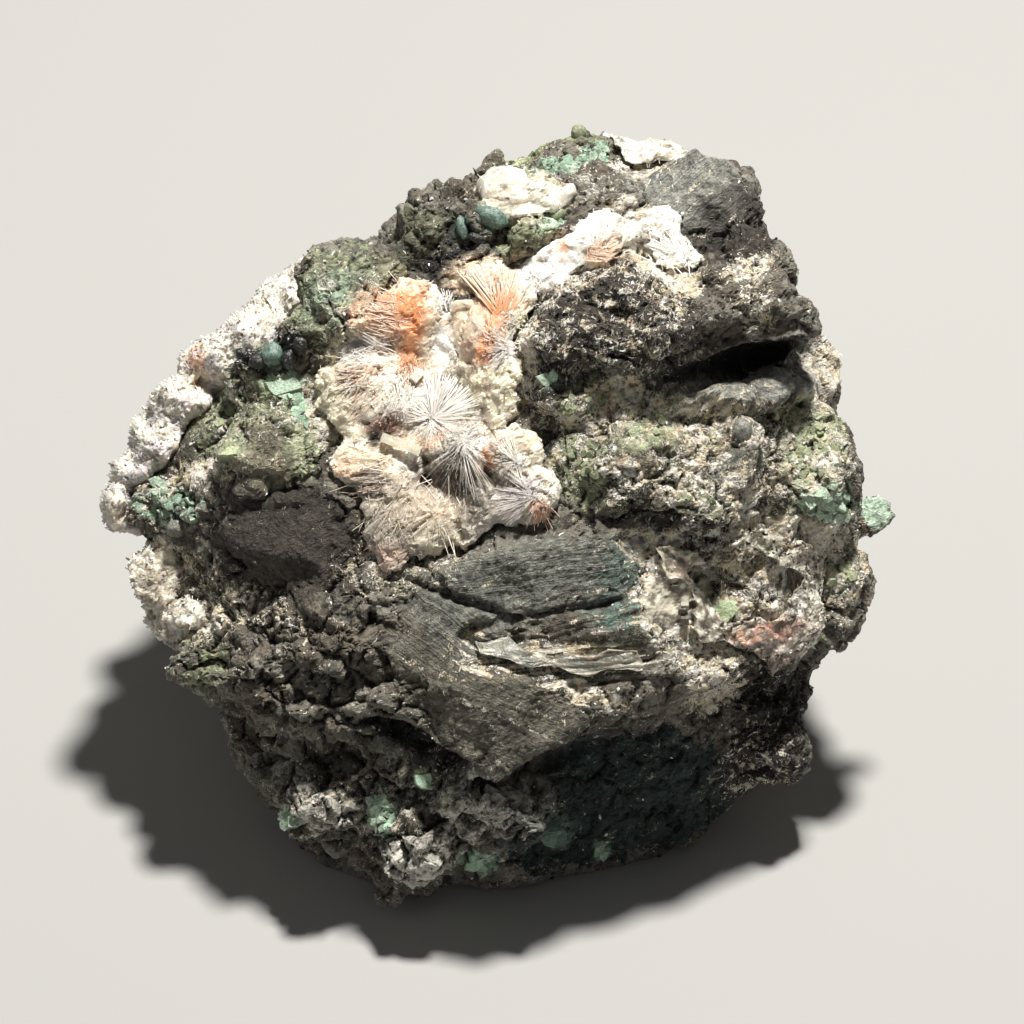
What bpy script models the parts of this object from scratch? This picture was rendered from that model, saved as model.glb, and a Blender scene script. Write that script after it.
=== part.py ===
"""Thomsonite on basalt: a hand-sized broken block with a crystal-lined hollow in its show face.

The block is laid out on its show face, in millimetres: u runs to the right, v up the face and w out of it,
towards whoever looks at it. stand() leans that face back, as the block rests on its flat underside.
The back is laid out as it stands: x to the right, y away from the viewer and z up from the underside.
"""

import math
import random

import bmesh
import bpy
from mathutils import Matrix, Vector, noise
from mathutils.bvhtree import BVHTree

# Driving dimensions, in millimetres and degrees
MM = 0.001
LEAN = math.radians(40.0)      # how far the show face leans back from upright
REST_DROP = 45.0               # the underside's depth below the show face's middle
ROCK_VOXEL = 1.1               # grid that fuses the rock's masses
CRUST_VOXEL = 0.7              # grid that fuses a crust's pads
CLEARANCE = 0.5                # between the basalt and what grew on it
BED_DEPTH = 1.6                # how far the rock lies lower under a pad of crust
PAD_ROOT = 3.5                 # how far below the rock's surface a pad's middle lies, before the rock is taken away
PAD_SPREAD = 1.3               # how far a pad's rounded side reaches beyond the half sizes that show
BASALT_TRIANGLES = 4800


def stand(u, v, w):
    """A point of the show face, in mm, where it is once the block stands, in metres."""
    y = v * math.sin(LEAN) - w * math.cos(LEAN)
    z = v * math.cos(LEAN) + w * math.sin(LEAN) + REST_DROP
    return Vector((u, y, z)) * MM


def standing(x, y, z):
    """A point of the back, in mm, in metres."""
    return Vector((x, y, z)) * MM


FACE_TURN = Matrix.Rotation(-LEAN, 4, "X") @ Matrix.Rotation(math.radians(90), 4, "X")

# The rim of the block as its face shows it, clockwise from the left foot of the head
RIM_HEAD = [
    (-14, 46, 0), (-7, 52.5, 0), (4, 58.5, -3), (13.5, 61, -4), (24, 58, -5), (31.5, 57, -3),
    (39.5, 51.5, 0), (43.5, 46, 2), (45, 39.5, 4), (48.5, 33, 4),
]
RIM_RIGHT = [(55, 22, 1), (57, 13, 1), (58, 4, 0), (58.5, -8, 1), (56, -19, 2), (51, -25.5, 2)]
RIM_FOOT = [
    (50.5, -32, -2), (46, -39, -2), (42, -45, -4), (35, -50, -5), (27, -56.5, -4), (17, -58, 0),
    (1, -60.5, 3), (-16, -61, 5), (-24, -55, 5), (-32, -49, 4), (-38.5, -43, 3), (-40, -36.5, 5),
]
RIM_LEFT = [
    (-45.5, -31, 5), (-51.5, -24, 4), (-54, -15, 4), (-56.5, -8, 4), (-56.5, -2, 3),
    (-53.5, 6.5, 3), (-47.5, 14, 2), (-40.5, 22, 2), (-32, 29.5, 2), (-24.5, 39, 2),
]

# The block's main masses, each the hull of its corners. The upper mass overhangs the lower one.
UPPER_FACE = [
    (8, 50, 13), (28, 49, 14), (37, 39, 17), (12, 32, 23), (30, 27, 27), (42, 27, 20),
    (-26, 32, 14), (-38, 18, 15), (-46, 0, 15), (-30, 10, 21), (-20, -4, 25), (-43, -16, 17),
    (0, 8, 27), (22, 6, 30), (38, 6, 25), (49, 0, 16), (47, -18, 16),
]
UPPER_LIP = [
    (-36, -33, 20), (-24, -36, 24), (-13, -33, 29), (-1, -41, 31), (9, -37, 30), (18, -32, 29),
    (30, -29, 25), (41, -25, 18),
    (-30, -38, 8), (0, -42, 12), (25, -36, 8), (40, -31, 4),
]
LOWER_FACE = [
    (-30, -40, 14), (-6, -44, 17), (20, -38, 17), (38, -32, 13), (46, -30, 8), (-18, -54, 13), (4, -55, 9),
    (38, -44, 4),
]
FOOT_BLOCK = [
    (-33, -49, 6), (-30, -43.5, 17), (-22, -40, 21), (-13, -41, 23), (-4, -44, 24), (5, -49, 22),
    (4, -54, 15), (-8, -55, 19), (-14, -60.5, 11), (-20, -57, 10), (-26, -53, 13), (-16, -61, 2), (6, -50, 4),
]
BACK_CORNERS = [
    (-30, -34, -4), (-2, -38, -6), (24, -32, -4), (32, -2, -4), (25, 31, -4), (0, 38, -4), (-24, 32, -4),
    (-45, -18, 22), (-50, 14, 30), (-38, 34, 36), (-16, 46, 40), (14, 49, 38), (38, 40, 42), (51, 18, 34),
    (-46, 12, 54), (-30, 33, 66), (-8, 44, 66), (16, 46, 70), (36, 38, 70), (49, 20, 62),
    (-14, 30, 79), (6, 40, 84), (24, 38, 88), (34, 26, 90), (16, 28, 92),
]
BACK_INSET = 0.985            # the back's own rim stays this far within the face's

# Lumps of basalt: (u, v, w), half sizes along u, v and w, and a turn in the face in degrees
LUMPS = {
    "boulder": ((19.5, 29, 27), (15.5, 10.5, 9), 8),
    "boulder_right_end": ((38, 31.5, 19), (12, 9, 9), -10),
    "shoulder_lump": ((-22.5, 33, 13), (10, 8.6, 9), 20),
    "shoulder_ridge": ((-35.5, 23, 13), (8.5, 4.6, 5), 30),
    "shoulder_knob": ((-30.5, 27.5, 16), (3.6, 3.4, 3.4), 0),
    "tan_flake": ((-34, 9.5, 18), (9, 6.5, 5.5), 10),
    "brown_slab": ((-31.5, -4, 17), (12.5, 10, 7.5), -8),
    "left_corner": ((-51.5, 0, 5), (6.5, 7, 5), 0),
    "head_left_lump": ((-8.5, 45, 9), (7, 7.5, 7), 0),
    "head_crest": ((13, 55.5, 0), (8, 5.5, 6), -15),
    "head_right": ((34, 49, 5), (10, 9, 9), -30),
    "head_right_low": ((40, 38, 12), (8, 8, 7), 0),
    "green_boss": ((7, 42, 18), (4.8, 4.0, 4.4), 0),
    "green_knob_left": ((-4.5, 46, 14), (2.2, 2.8, 2.4), 20),
    "green_knob_right": ((0.2, 46.4, 15), (3.1, 2.2, 2.4), -30),
    "pillow_bed": ((6, 49, 12), (8, 5, 4.5), 0),
    "dark_pair": ((9, 18, 26), (6.5, 5, 5), 0),
    "middle_field": ((28, 8, 25), (15, 9, 7), 5),
    "dark_brow": ((31, -1.5, 24), (9, 5.5, 8), -8),
    "right_field": ((50, 6, 10), (8, 12, 8), 10),
    "grey_slab": ((8, -9.5, 25), (15, 8.5, 7.5), 6),
    "striped_slab": ((-1, -27, 25), (14, 12, 8), -20),
    "spur_tip": ((-0.5, -38.5, 26.5), (5.5, 4, 5.5), 0),
    "rubble_high": ((-24, -19, 23), (9, 7, 6), 0),
    "rubble_low": ((-33, -28, 17), (9, 7, 6), -20),
    "rubble_edge": ((-45, -22, 11), (7, 7, 6), 0),
    "right_rim_flake": ((60.8, -0.6, 3), (3.6, 3.6, 1.7), 0),
    "right_rim_lump": ((56, -14, 4), (4.5, 7, 6), 0),
    "low_right_lump": ((44, -38, 0), (7, 6, 7), -40),
    "foot_left": ((-27, -48.5, 13), (6, 5, 6), 0),
    "foot_middle": ((-12, -52, 17), (7, 6, 5), 30),
    "foot_right": ((0, -49, 19), (7, 4, 5), -15),
    "foot_point": ((-16, -59, 8), (4, 4, 5), 0),
}

# Hollows: the same numbers, cut out of the fused masses
HOLLOWS = {
    "vug_middle": ((-10, 22, 32), (14.5, 12, 16), 25),
    "vug_lower": ((-7.5, 4, 35), (15, 12, 17.5), -10),
    "vug_waist": ((-7.5, 12.5, 33), (13, 8, 16), 0),
    "vug_throat": ((3, 35.5, 30), (9.5, 7, 15), 40),
    "vug_neck": ((14.5, 41, 27), (8.5, 5, 12), 20),
    "groove_under_boulder": ((42, 21.3, 25), (15, 3.4, 12), 11),
    "pocket_under_brow": ((37, -8.5, 30), (6, 4, 8), 0),
    "pocket_right": ((35.5, -12, 31), (5.5, 4.2, 9.5), 10),
    "pocket_under_grey_slab": ((0, -19.2, 33), (6, 2.4, 10), -5),
    "crack_under_flake": ((-34, 3.4, 23), (10, 1.9, 8), 6),
    "crack_left": ((-47, -5, 20), (5, 3, 5), 0),
    "undercut_left": ((-33, -40, 22), (9, 4.5, 7), -5),
    "undercut_middle": ((-14, -37.5, 32), (8, 3.2, 9), -25),
    "undercut_spur": ((12, -43, 30), (12, 5, 12), 15),
    "undercut_right": ((33, -36, 26), (12, 5, 10), 15),
    "step_low_right": ((38, -53, 6), (8, 5, 10), 0),
}

# Crusts of thomsonite, each a union of pads. A pad on the face is (u, v), its half sizes along u and v, how far
# it rises above the rock, and a turn in degrees. A pad elsewhere is (u, v, w), three half sizes and a turn.
# A fan's or prism's third coordinate is its height above the rock.
CRUSTS = {
    "thomsonite_hollow_crust": {
        "triangles": 950,
        "pads": {
            "orange_block": ((-12.5, 29), (5.2, 7.2, 3.4), -10),
            "beige_block": ((-4.5, 28.5), (6.2, 7.4, 2.6), 0),
            "orange_blades": ((2.2, 31), (5.4, 7, 3.0), 35),
            "neck_low": ((6.5, 37), (7.5, 4.2, 2.6), 40),
            "neck_middle": ((13.5, 39.5), (6, 4.2, 2.6), 25),
            "neck_high": ((17.5, 43), (5, 4.2, 2.2), 10),
            "streak_top": ((22, 45), (4.2, 4, 1.8), 0),
            "streak_foot": ((25.5, 42), (3.8, 4.6, 2.0), -35),
            "peach_left": ((-23.5, 19.5), (6, 5.4, 2.4), 30),
            "peach_top": ((-18.5, 23.5), (6, 5, 2.6), 10),
            "cream_left": ((-19.5, 14), (6.2, 5.6, 2.4), 0),
            "floor": ((-9, 19), (7.5, 7.5, 2.4), 0),
            "floor_low": ((-12.5, 9), (7.5, 5.5, 2.0), 0),
            "right_wall": ((2.2, 19.5), (4.4, 8.4, 2.6), -8),
            "right_wall_high": ((1.2, 26), (5, 5.6, 2.4), 0),
            "red_saddle": ((-1.2, 9), (5, 5, 2.8), 0),
            "shell": ((-20, 6), (5.6, 3.6, 2.8), -10),
            "shell_root": ((-17, 2.5), (5.4, 5, 2.0), 0),
            "taupe_mass": ((-14, -3), (9, 7, 2.8), 10),
            "taupe_foot": ((-17.5, -7), (5.6, 4.8, 2.2), 0),
            "taupe_right": ((-6.5, -1.5), (6.4, 6, 2.6), 0),
            "low_floor": ((-3, 3.5), (7, 6, 2.0), 0),
            "low_right": ((2, -1.5), (6.6, 5, 2.2), 0),
            "pink_right": ((6, 3.5), (5, 6, 2.6), 0),
            "gap_orange": ((-15.5, 25.5), (5.6, 5.4, 2.0), 0),
            "gap_middle": ((-3, 22), (5.4, 5.4, 1.8), 0),
            "gap_shell": ((-14.5, 8), (6, 5, 1.6), 0),
            "gap_dark": ((-5.5, -2.5), (6.4, 5.4, 1.8), 0),
            "streak_low": ((28.5, 38), (3.8, 4.4, 1.6), -35),
        },
        "fans": {
            "main_spray": ((-9.2, 14.8, 1.6), (8.0, 7.6, 3.8), 0, 12),
            "orange_spray": ((-13, 31, 1.4), (5.6, 6.4, 3.4), 15, 9),
            "blade_spray": ((3.5, 33, 1.4), (5, 6.2, 3.2), 35, 9),
            "neck_spray": ((15, 41, 1.2), (6.2, 5, 2.8), 20, 9),
            "peach_spray": ((-21, 19.5, 1.2), (6.6, 6, 2.8), 30, 10),
            "dark_spray": ((-5.0, 8.4, 1.2), (6.2, 6.8, 3.2), 0, 11),
            "right_spray": ((3.4, 8.4, 1.2), (5.4, 5.6, 3.2), 0, 9),
            "pink_spray": ((6.6, 2.4, 1.2), (5.2, 5.6, 3.0), 0, 9),
            "taupe_spray": ((-12, -3, 1.2), (7.0, 6, 2.8), 0, 10),
        },
        "prisms": {
            "square_prism": ((-14.4, 10.4, 4.2), (3.6, 0.95, 0.95), -24),
            "small_prism": ((-17.6, 15.8, 3.0), (2.6, 0.7, 0.7), 35),
        },
    },
    "thomsonite_pillow_crust": {
        "triangles": 240,
        "pads": {
            "pillow": ((4.2, 49.6), (7.2, 3.6, 2.6), -8),
            "pillow_end": ((9.8, 49.2), (4, 3.0, 2.2), -20),
        },
    },
    "thomsonite_shoulder_crust": {
        "triangles": 560,
        "pads": {
            "top": ((-28.5, 35.5, -5), (5.2, 4.8, 9), 30),
            "high": ((-33.5, 31.2, -4), (5.8, 5.2, 10), 35),
            "lavender": ((-38.5, 27.4, -2), (6.2, 5.4, 10), 35),
            "middle": ((-42.8, 22.6, -3), (5.8, 6, 10), 45),
            "low": ((-48.2, 16.6, -3), (5.4, 6.4, 10), 50),
            "lower": ((-52, 9.8, -2), (5, 6.4, 9), 65),
            "tip": ((-57.6, 0.2, 2), (4, 4.6, 5), 80),
            "tip_above": ((-56, 5, 0), (4.4, 5, 6), 70),
            "tip_behind": ((-56, 2.5, -7), (4, 5, 6), 80),
            "back_high": ((-35, 28.5, -15), (6, 6, 7), 35),
            "back_middle": ((-44, 21.5, -17), (6, 7, 7), 45),
            "back_low": ((-51, 10.5, -15), (5, 7, 7), 60),
        },
    },
    "thomsonite_side_crust": {
        "triangles": 430,
        "pads": {
            "froth_top": ((25.5, -7.5), (5.4, 6, 1.3), 10),
            "froth_middle": ((28, -13), (5.2, 6, 1.4), 20),
            "froth_foot": ((31.5, -18.4), (6, 5, 1.4), -10),
            "band": ((37, -20), (6, 4.6, 1.6), -5),
            "pink": ((41.5, -19.4), (6, 4.8, 1.9), 10),
            "pink_end": ((46, -17.2), (5, 5.4, 1.7), 30),
            "rise": ((46.5, -11.5), (4.4, 6.4, 1.3), 0),
            "upper_band": ((42.5, -5.6), (6.6, 4, 1.3), -10),
            "upper_left": ((35.5, -4.2), (6, 3.4, 1.2), 5),
        },
    },
    "thomsonite_crown_crust": {
        "triangles": 200,
        "pads": {
            "left": ((19.5, 56), (5, 3.4, 1.9), 0),
            "right": ((26, 55), (5, 3.4, 2.0), 5),
        },
    },
    "thomsonite_left_crust": {
        "triangles": 210,
        "pads": {
            "bright": ((-51, -10.6), (5.2, 5.0, 1.6), 20),
            "low": ((-49.5, -14.5), (5, 5, 1.4), 0),
            "foot": ((-47, -18.5), (4.4, 4.2, 1.3), 0),
        },
    },
    "thomsonite_vein": {
        "triangles": 240,
        "pads": {
            "a": ((0.5, -22.8), (4.8, 2.4, 2.0), -8),
            "b": ((4.8, -23.4), (5, 2.6, 2.1), -6),
            "c": ((9.5, -23.8), (5.2, 3.0, 2.1), -2),
            "d": ((14, -23.8), (5.4, 3.4, 2.2), 2),
            "e": ((18.8, -23.2), (5.4, 3.8, 2.2), 10),
        },
    },
}

# Look of each mineral in the solids: linear colour, roughness
MATERIALS = {
    "basalt": ((0.055, 0.050, 0.042), 0.9),
    "thomsonite": ((0.72, 0.60, 0.50), 0.45),
}

# Calm stretches of the face, where the fracture is a plane: (u, v), half sizes, and a turn in degrees
SLABS = {
    "grey_slab": ((8, -10), (15, 7), 6),
    "striped_slab": ((-1, -28), (13, 11), -20),
    "brown_slab": ((-32, -3), (11, 8), -8),
    "head_face": ((33, 50), (8, 6), -30),
}


def show_coordinates(point):
    """(u, v, w) in mm of a point in metres: the way back from stand()."""
    x, y, z = point / MM
    z -= REST_DROP
    v = y * math.sin(LEAN) + z * math.cos(LEAN)
    w = -y * math.cos(LEAN) + z * math.sin(LEAN)
    return x, v, w


def hull(bm, corners):
    """Adds the convex hull of the corners to bm."""
    verts = [bm.verts.new(corner) for corner in corners]
    made = bmesh.ops.convex_hull(bm, input=verts)
    inside = [g for g in made["geom_interior"] + made["geom_unused"] if isinstance(g, bmesh.types.BMVert)]
    bmesh.ops.delete(bm, geom=list(set(inside)), context="VERTS")


def face_matrix(centre, halves, turn):
    """Places a unit ball at a point of the show face, with its half sizes along u, v and w."""
    u, v, w = halves
    turned = FACE_TURN @ Matrix.Rotation(math.radians(turn), 4, "Z")
    return Matrix.Translation(stand(*centre)) @ turned @ Matrix.Diagonal((u * MM, v * MM, w * MM, 1))


def chiselled(point, planes):
    """Takes a point of the unit ball back to the flats that were struck off it."""
    for normal, depth in planes:
        over = point.dot(normal) - depth
        if over > 0:
            point = point - normal * over
    return point


def lump(bm, centre, halves, turn=0.0, flats=11, shallow=0.86, deep=0.62):
    """Adds a broken lump: a ball of the show face with flats struck off at random, the same ones each time."""
    dice = random.Random(str(centre))
    planes = []
    for _ in range(flats):
        normal = Vector((dice.gauss(0, 1), dice.gauss(0, 1), dice.gauss(0, 1))).normalized()
        planes.append((normal, dice.uniform(deep, shallow)))
    made = bmesh.ops.create_icosphere(bm, subdivisions=4, radius=1.0)
    matrix = face_matrix(centre, halves, turn)
    for vert in made["verts"]:
        vert.co = matrix @ (chiselled(vert.co, planes) * 1.12)


def fan(bm, centre, halves, turn, blades):
    """Adds a spray of blades: a dome whose every other meridian stands back."""
    made = bmesh.ops.create_uvsphere(bm, u_segments=2 * blades, v_segments=5, radius=1.0)
    matrix = face_matrix(centre, halves, turn)
    for vert in made["verts"]:
        meridian = round(math.atan2(vert.co.y, vert.co.x) * blades / math.pi)
        reach = 1.0 if meridian % 2 else 0.82
        vert.co = matrix @ Vector((vert.co.x * reach, vert.co.y * reach, vert.co.z * (0.75 + 0.25 * reach)))


def prism(bm, centre, halves, turn):
    """Adds a straight square crystal that lies along the face, tipped up a little at one end."""
    made = bmesh.ops.create_cube(bm, size=2.0)
    matrix = face_matrix(centre, (1, 1, 1), turn) @ Matrix.Rotation(math.radians(14), 4, "Y")
    for vert in made["verts"]:
        x, y, z = vert.co
        vert.co = matrix @ Vector((x * halves[0], y * halves[1], z * halves[2]))


def mesh_object(name, bm, collection):
    """A new object from bm, which is freed."""
    bmesh.ops.recalc_face_normals(bm, faces=bm.faces)
    mesh = bpy.data.meshes.new(name)
    bm.to_mesh(mesh)
    bm.free()
    obj = bpy.data.objects.new(name, mesh)
    collection.objects.link(obj)
    return obj


def as_guide(obj):
    """Marks a cutter or helper, which isn't a piece of the specimen."""
    obj.hide_render = True
    obj.display_type = "WIRE"
    return obj


def add_remesh(obj, voxel):
    remesh = obj.modifiers.new("fuse", "REMESH")
    remesh.mode = "VOXEL"
    remesh.voxel_size = voxel * MM
    remesh.adaptivity = 0.0


def add_boolean(obj, operation, other):
    boolean = obj.modifiers.new(operation.lower(), "BOOLEAN")
    boolean.operation = operation
    boolean.solver = "EXACT"
    boolean.use_self = True
    boolean.object = other


def apply_modifiers(obj):
    """Replaces the object's mesh by its evaluated one."""
    bpy.context.view_layer.update()
    graph = bpy.context.evaluated_depsgraph_get()
    mesh = bpy.data.meshes.new_from_object(obj.evaluated_get(graph))
    obj.modifiers.clear()
    old = obj.data
    obj.data = mesh
    mesh.name = obj.name
    bpy.data.meshes.remove(old)


def thin_to(obj, triangles):
    """Decimates to about that many triangles."""
    bm = bmesh.new()
    bm.from_mesh(obj.data)
    bmesh.ops.triangulate(bm, faces=bm.faces)
    bm.to_mesh(obj.data)
    bm.free()
    decimate = obj.modifiers.new("thin", "DECIMATE")
    decimate.ratio = min(1.0, triangles / len(obj.data.polygons))
    apply_modifiers(obj)


def keep_largest(obj):
    """Drops every body but the largest. Two that touch at a corner only are apart."""
    bm = bmesh.new()
    bm.from_mesh(obj.data)
    unseen = set(bm.faces)
    groups = []
    while unseen:
        stack = [unseen.pop()]
        group = []
        while stack:
            face = stack.pop()
            group.append(face)
            for other in {near for edge in face.edges for near in edge.link_faces}:
                if other in unseen:
                    unseen.remove(other)
                    stack.append(other)
        groups.append(group)
    groups.sort(key=len, reverse=True)
    for group in groups[1:]:
        bmesh.ops.delete(bm, geom=group, context="FACES")
    bm.to_mesh(obj.data)
    bm.free()


def inside_patch(u, v, patch):
    """1 in the middle of a patch of the face, falling to 0 at its rim."""
    (centre_u, centre_v), (half_u, half_v), turn = patch
    angle = math.radians(turn)
    du, dv = u - centre_u, v - centre_v
    along = (du * math.cos(angle) + dv * math.sin(angle)) / half_u
    across = (-du * math.sin(angle) + dv * math.cos(angle)) / half_v
    return max(0.0, min(1.0, 2.0 * (1.0 - math.hypot(along, across))))


def facet_height(place, size):
    """Broken facets: each cell of the rock is a plane with a tilt and a height of its own, from about -1 to 1."""
    _, centres = noise.voronoi(place / size)
    offset = place / size - centres[0]
    random_vector = noise.cell_vector(centres[0] * 50.0) - Vector((0.5, 0.5, 0.5))
    return 1.9 * offset.dot(random_vector) + 1.1 * random_vector.x


def crust_beds():
    """The patches of the face that crust grew on."""
    beds = []
    for plan in CRUSTS.values():
        for spot, halves, turn in plan["pads"].values():
            if len(spot) == 2:
                beds.append((spot, (halves[0] * PAD_SPREAD, halves[1] * PAD_SPREAD), turn))
    return beds


def roughness_height(point, beds):
    """How far the broken surface stands out at a point, in mm."""
    u, v, w = show_coordinates(point)
    place = Vector((u, v, w))
    slab = bed = 0.0
    if w > 0:
        bed = max(inside_patch(u, v, patch) for patch in beds)
    if w > 5:
        slab = max(inside_patch(u, v, patch) for patch in SLABS.values())
    calm = max(slab, bed)
    broad = noise.fractal(place / 19.0, 0.8, 2.1, 3)
    facets = facet_height(place, 9.0) + 0.6 * facet_height(place + Vector((31, 7, 5)), 5.5)
    return 1.6 * broad * (1 - 0.6 * calm) + 1.0 * facets * (1 - 0.8 * calm) - BED_DEPTH * bed


def roughen(obj, height):
    """Moves each point along its normal by height(point), in mm."""
    mesh = obj.data
    moves = [vert.normal * height(vert.co) * MM for vert in mesh.vertices]
    for vert, move in zip(mesh.vertices, moves):
        vert.co += move
    mesh.update()


def flatten_underside(obj):
    """Cuts the block off flat at z = 0, where it rests."""
    bm = bmesh.new()
    bm.from_mesh(obj.data)
    cut = bmesh.ops.bisect_plane(
        bm,
        geom=bm.verts[:] + bm.edges[:] + bm.faces[:],
        plane_co=(0, 0, 0),
        plane_no=(0, 0, 1),
        clear_inner=True,
    )
    rim = [g for g in cut["geom_cut"] if isinstance(g, bmesh.types.BMEdge)]
    filled = bmesh.ops.triangle_fill(bm, edges=rim, use_beauty=True)
    bmesh.ops.recalc_face_normals(bm, faces=bm.faces)
    bm.to_mesh(obj.data)
    bm.free()
    return filled


def basalt(collection, guides):
    """The host rock: masses and lumps fused, hollows cut, broken surface, flat underside."""
    bm = bmesh.new()
    hull(bm, [stand(*corner) for corner in RIM_HEAD + RIM_RIGHT + RIM_LEFT + UPPER_FACE + UPPER_LIP])
    hull(bm, [stand(*corner) for corner in RIM_FOOT + LOWER_FACE])
    hull(bm, [stand(*corner) for corner in FOOT_BLOCK])
    rim = RIM_HEAD + RIM_RIGHT + RIM_FOOT + RIM_LEFT
    back = [stand(u * BACK_INSET, v * BACK_INSET, w - 1) for u, v, w in rim]
    hull(bm, back + [standing(*corner) for corner in BACK_CORNERS])
    for centre, halves, turn in LUMPS.values():
        lump(bm, centre, halves, turn)
    rock = mesh_object("basalt_matrix", bm, collection)
    add_remesh(rock, ROCK_VOXEL)

    bm = bmesh.new()
    for centre, halves, turn in HOLLOWS.values():
        lump(bm, centre, halves, turn)
    cutter = as_guide(mesh_object("hollow_cutter", bm, guides))
    add_remesh(cutter, ROCK_VOXEL)
    add_boolean(rock, "DIFFERENCE", cutter)
    add_remesh(rock, ROCK_VOXEL)
    apply_modifiers(rock)
    beds = crust_beds()
    roughen(rock, lambda point: roughness_height(point, beds))
    keep_largest(rock)
    thin_to(rock, BASALT_TRIANGLES)
    flatten_underside(rock)
    keep_largest(rock)
    return rock


def on_face(tree, spot):
    """(u, v, w) of the rock's surface under a spot (u, v) of the face, as seen from the front."""
    above = stand(spot[0], spot[1], 90.0)
    hit, _, _, _ = tree.ray_cast(above, stand(0, 0, 0) - stand(0, 0, 1))
    return (spot[0], spot[1], show_coordinates(hit)[2])


def fattened(rock, guides):
    """The rock with the clearance added all round: what a crust on it must keep out of."""
    bm = bmesh.new()
    bm.from_mesh(rock.data)
    bm.normal_update()
    moves = [vert.normal * CLEARANCE * MM for vert in bm.verts]
    for vert, move in zip(bm.verts, moves):
        vert.co += move
    return as_guide(mesh_object("rock_and_clearance", bm, guides))


def crust(name, plan, tree, keep_out, collection, guides):
    """A crust of thomsonite: pads fused and thinned, sprays and prisms added, the rock's own space taken away."""
    bm = bmesh.new()
    for spot, halves, turn in plan["pads"].values():
        centre = spot
        if len(spot) == 2:
            u, v, w = on_face(tree, spot)
            centre = (u, v, w - PAD_ROOT)
            halves = (halves[0] * PAD_SPREAD, halves[1] * PAD_SPREAD, halves[2] + PAD_ROOT)
        lump(bm, centre, halves, turn, flats=9)
    grown = mesh_object(name, bm, collection)
    add_remesh(grown, CRUST_VOXEL)
    apply_modifiers(grown)
    roughen(grown, crust_height)
    thin_to(grown, plan["triangles"])

    for label, (spot, halves, turn, blades) in plan.get("fans", {}).items():
        bm = bmesh.new()
        u, v, w = on_face(tree, spot[:2])
        fan(bm, (u, v, w + spot[2]), halves, turn, blades)
        add_boolean(grown, "UNION", as_guide(mesh_object(label, bm, guides)))
    for label, (spot, halves, turn) in plan.get("prisms", {}).items():
        bm = bmesh.new()
        u, v, w = on_face(tree, spot[:2])
        prism(bm, (u, v, w + spot[2]), halves, turn)
        add_boolean(grown, "UNION", as_guide(mesh_object(label, bm, guides)))
    add_boolean(grown, "DIFFERENCE", keep_out)
    apply_modifiers(grown)
    keep_largest(grown)
    tidy(grown)
    return grown


def crust_height(point):
    """How far the crust's knobbly surface stands out at a point, in mm."""
    place = Vector(show_coordinates(point))
    return 0.55 * facet_height(place, 3.6)


def tidy(obj):
    """Drops the slivers that a Boolean leaves and turns every face into triangles."""
    bm = bmesh.new()
    bm.from_mesh(obj.data)
    bmesh.ops.dissolve_degenerate(bm, edges=bm.edges, dist=0.002 * MM)
    bmesh.ops.triangulate(bm, faces=bm.faces)
    bmesh.ops.recalc_face_normals(bm, faces=bm.faces)
    bm.to_mesh(obj.data)
    bm.free()


def surfaced(name):
    """A plain material of a mineral."""
    colour, roughness = MATERIALS[name]
    material = bpy.data.materials.new(name)
    material.use_nodes = True
    shader = material.node_tree.nodes["Principled BSDF"]
    shader.inputs["Base Color"].default_value = (*colour, 1.0)
    shader.inputs["Roughness"].default_value = roughness
    shader.inputs["Metallic"].default_value = 0.0
    return material


def centre_on_origin(pieces, guides):
    """Puts the middle of the specimen's bounding box over the origin and returns the shift, in mm."""
    corners = [vert.co for piece in pieces for vert in piece.data.vertices]
    shift = Vector((
        -(min(c.x for c in corners) + max(c.x for c in corners)) / 2,
        -(min(c.y for c in corners) + max(c.y for c in corners)) / 2,
        0.0,
    ))
    for obj in [*pieces, *guides.objects]:
        obj.data.transform(Matrix.Translation(shift))
    return shift / MM


def main():
    for obj in list(bpy.data.objects):
        bpy.data.objects.remove(obj)
    specimen = bpy.data.collections.new("thomsonite_specimen")
    guides = bpy.data.collections.new("guides")
    for collection in (specimen, guides):
        bpy.context.scene.collection.children.link(collection)

    rock = basalt(specimen, guides)
    rock.data.materials.append(surfaced("basalt"))
    bm = bmesh.new()
    bm.from_mesh(rock.data)
    tree = BVHTree.FromBMesh(bm)
    bm.free()
    keep_out = fattened(rock, guides)
    pieces = [rock]
    for name, plan in CRUSTS.items():
        grown = crust(name, plan, tree, keep_out, specimen, guides)
        grown.data.materials.clear()
        grown.data.materials.append(surfaced("thomsonite"))
        pieces.append(grown)
    shift = centre_on_origin(pieces, guides)
    print("shift", [round(c, 3) for c in shift])
    for piece in pieces:
        print(piece.name, len(piece.data.polygons))


main()
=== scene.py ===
"""Looks of the thomsonite specimen: broken basalt with green skins, and crystal sprays in its hollow.

Places on the show face are pixels of the photograph, turned into millimetres by photo(): u to the right,
v up the face, w out of it. stand() gives the world point of (u, v, w), as the face leans back by LEAN.
"""

import math
from itertools import product

import bmesh
import bpy
import numpy as np
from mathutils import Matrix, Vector, noise
from mathutils.bvhtree import BVHTree


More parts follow.
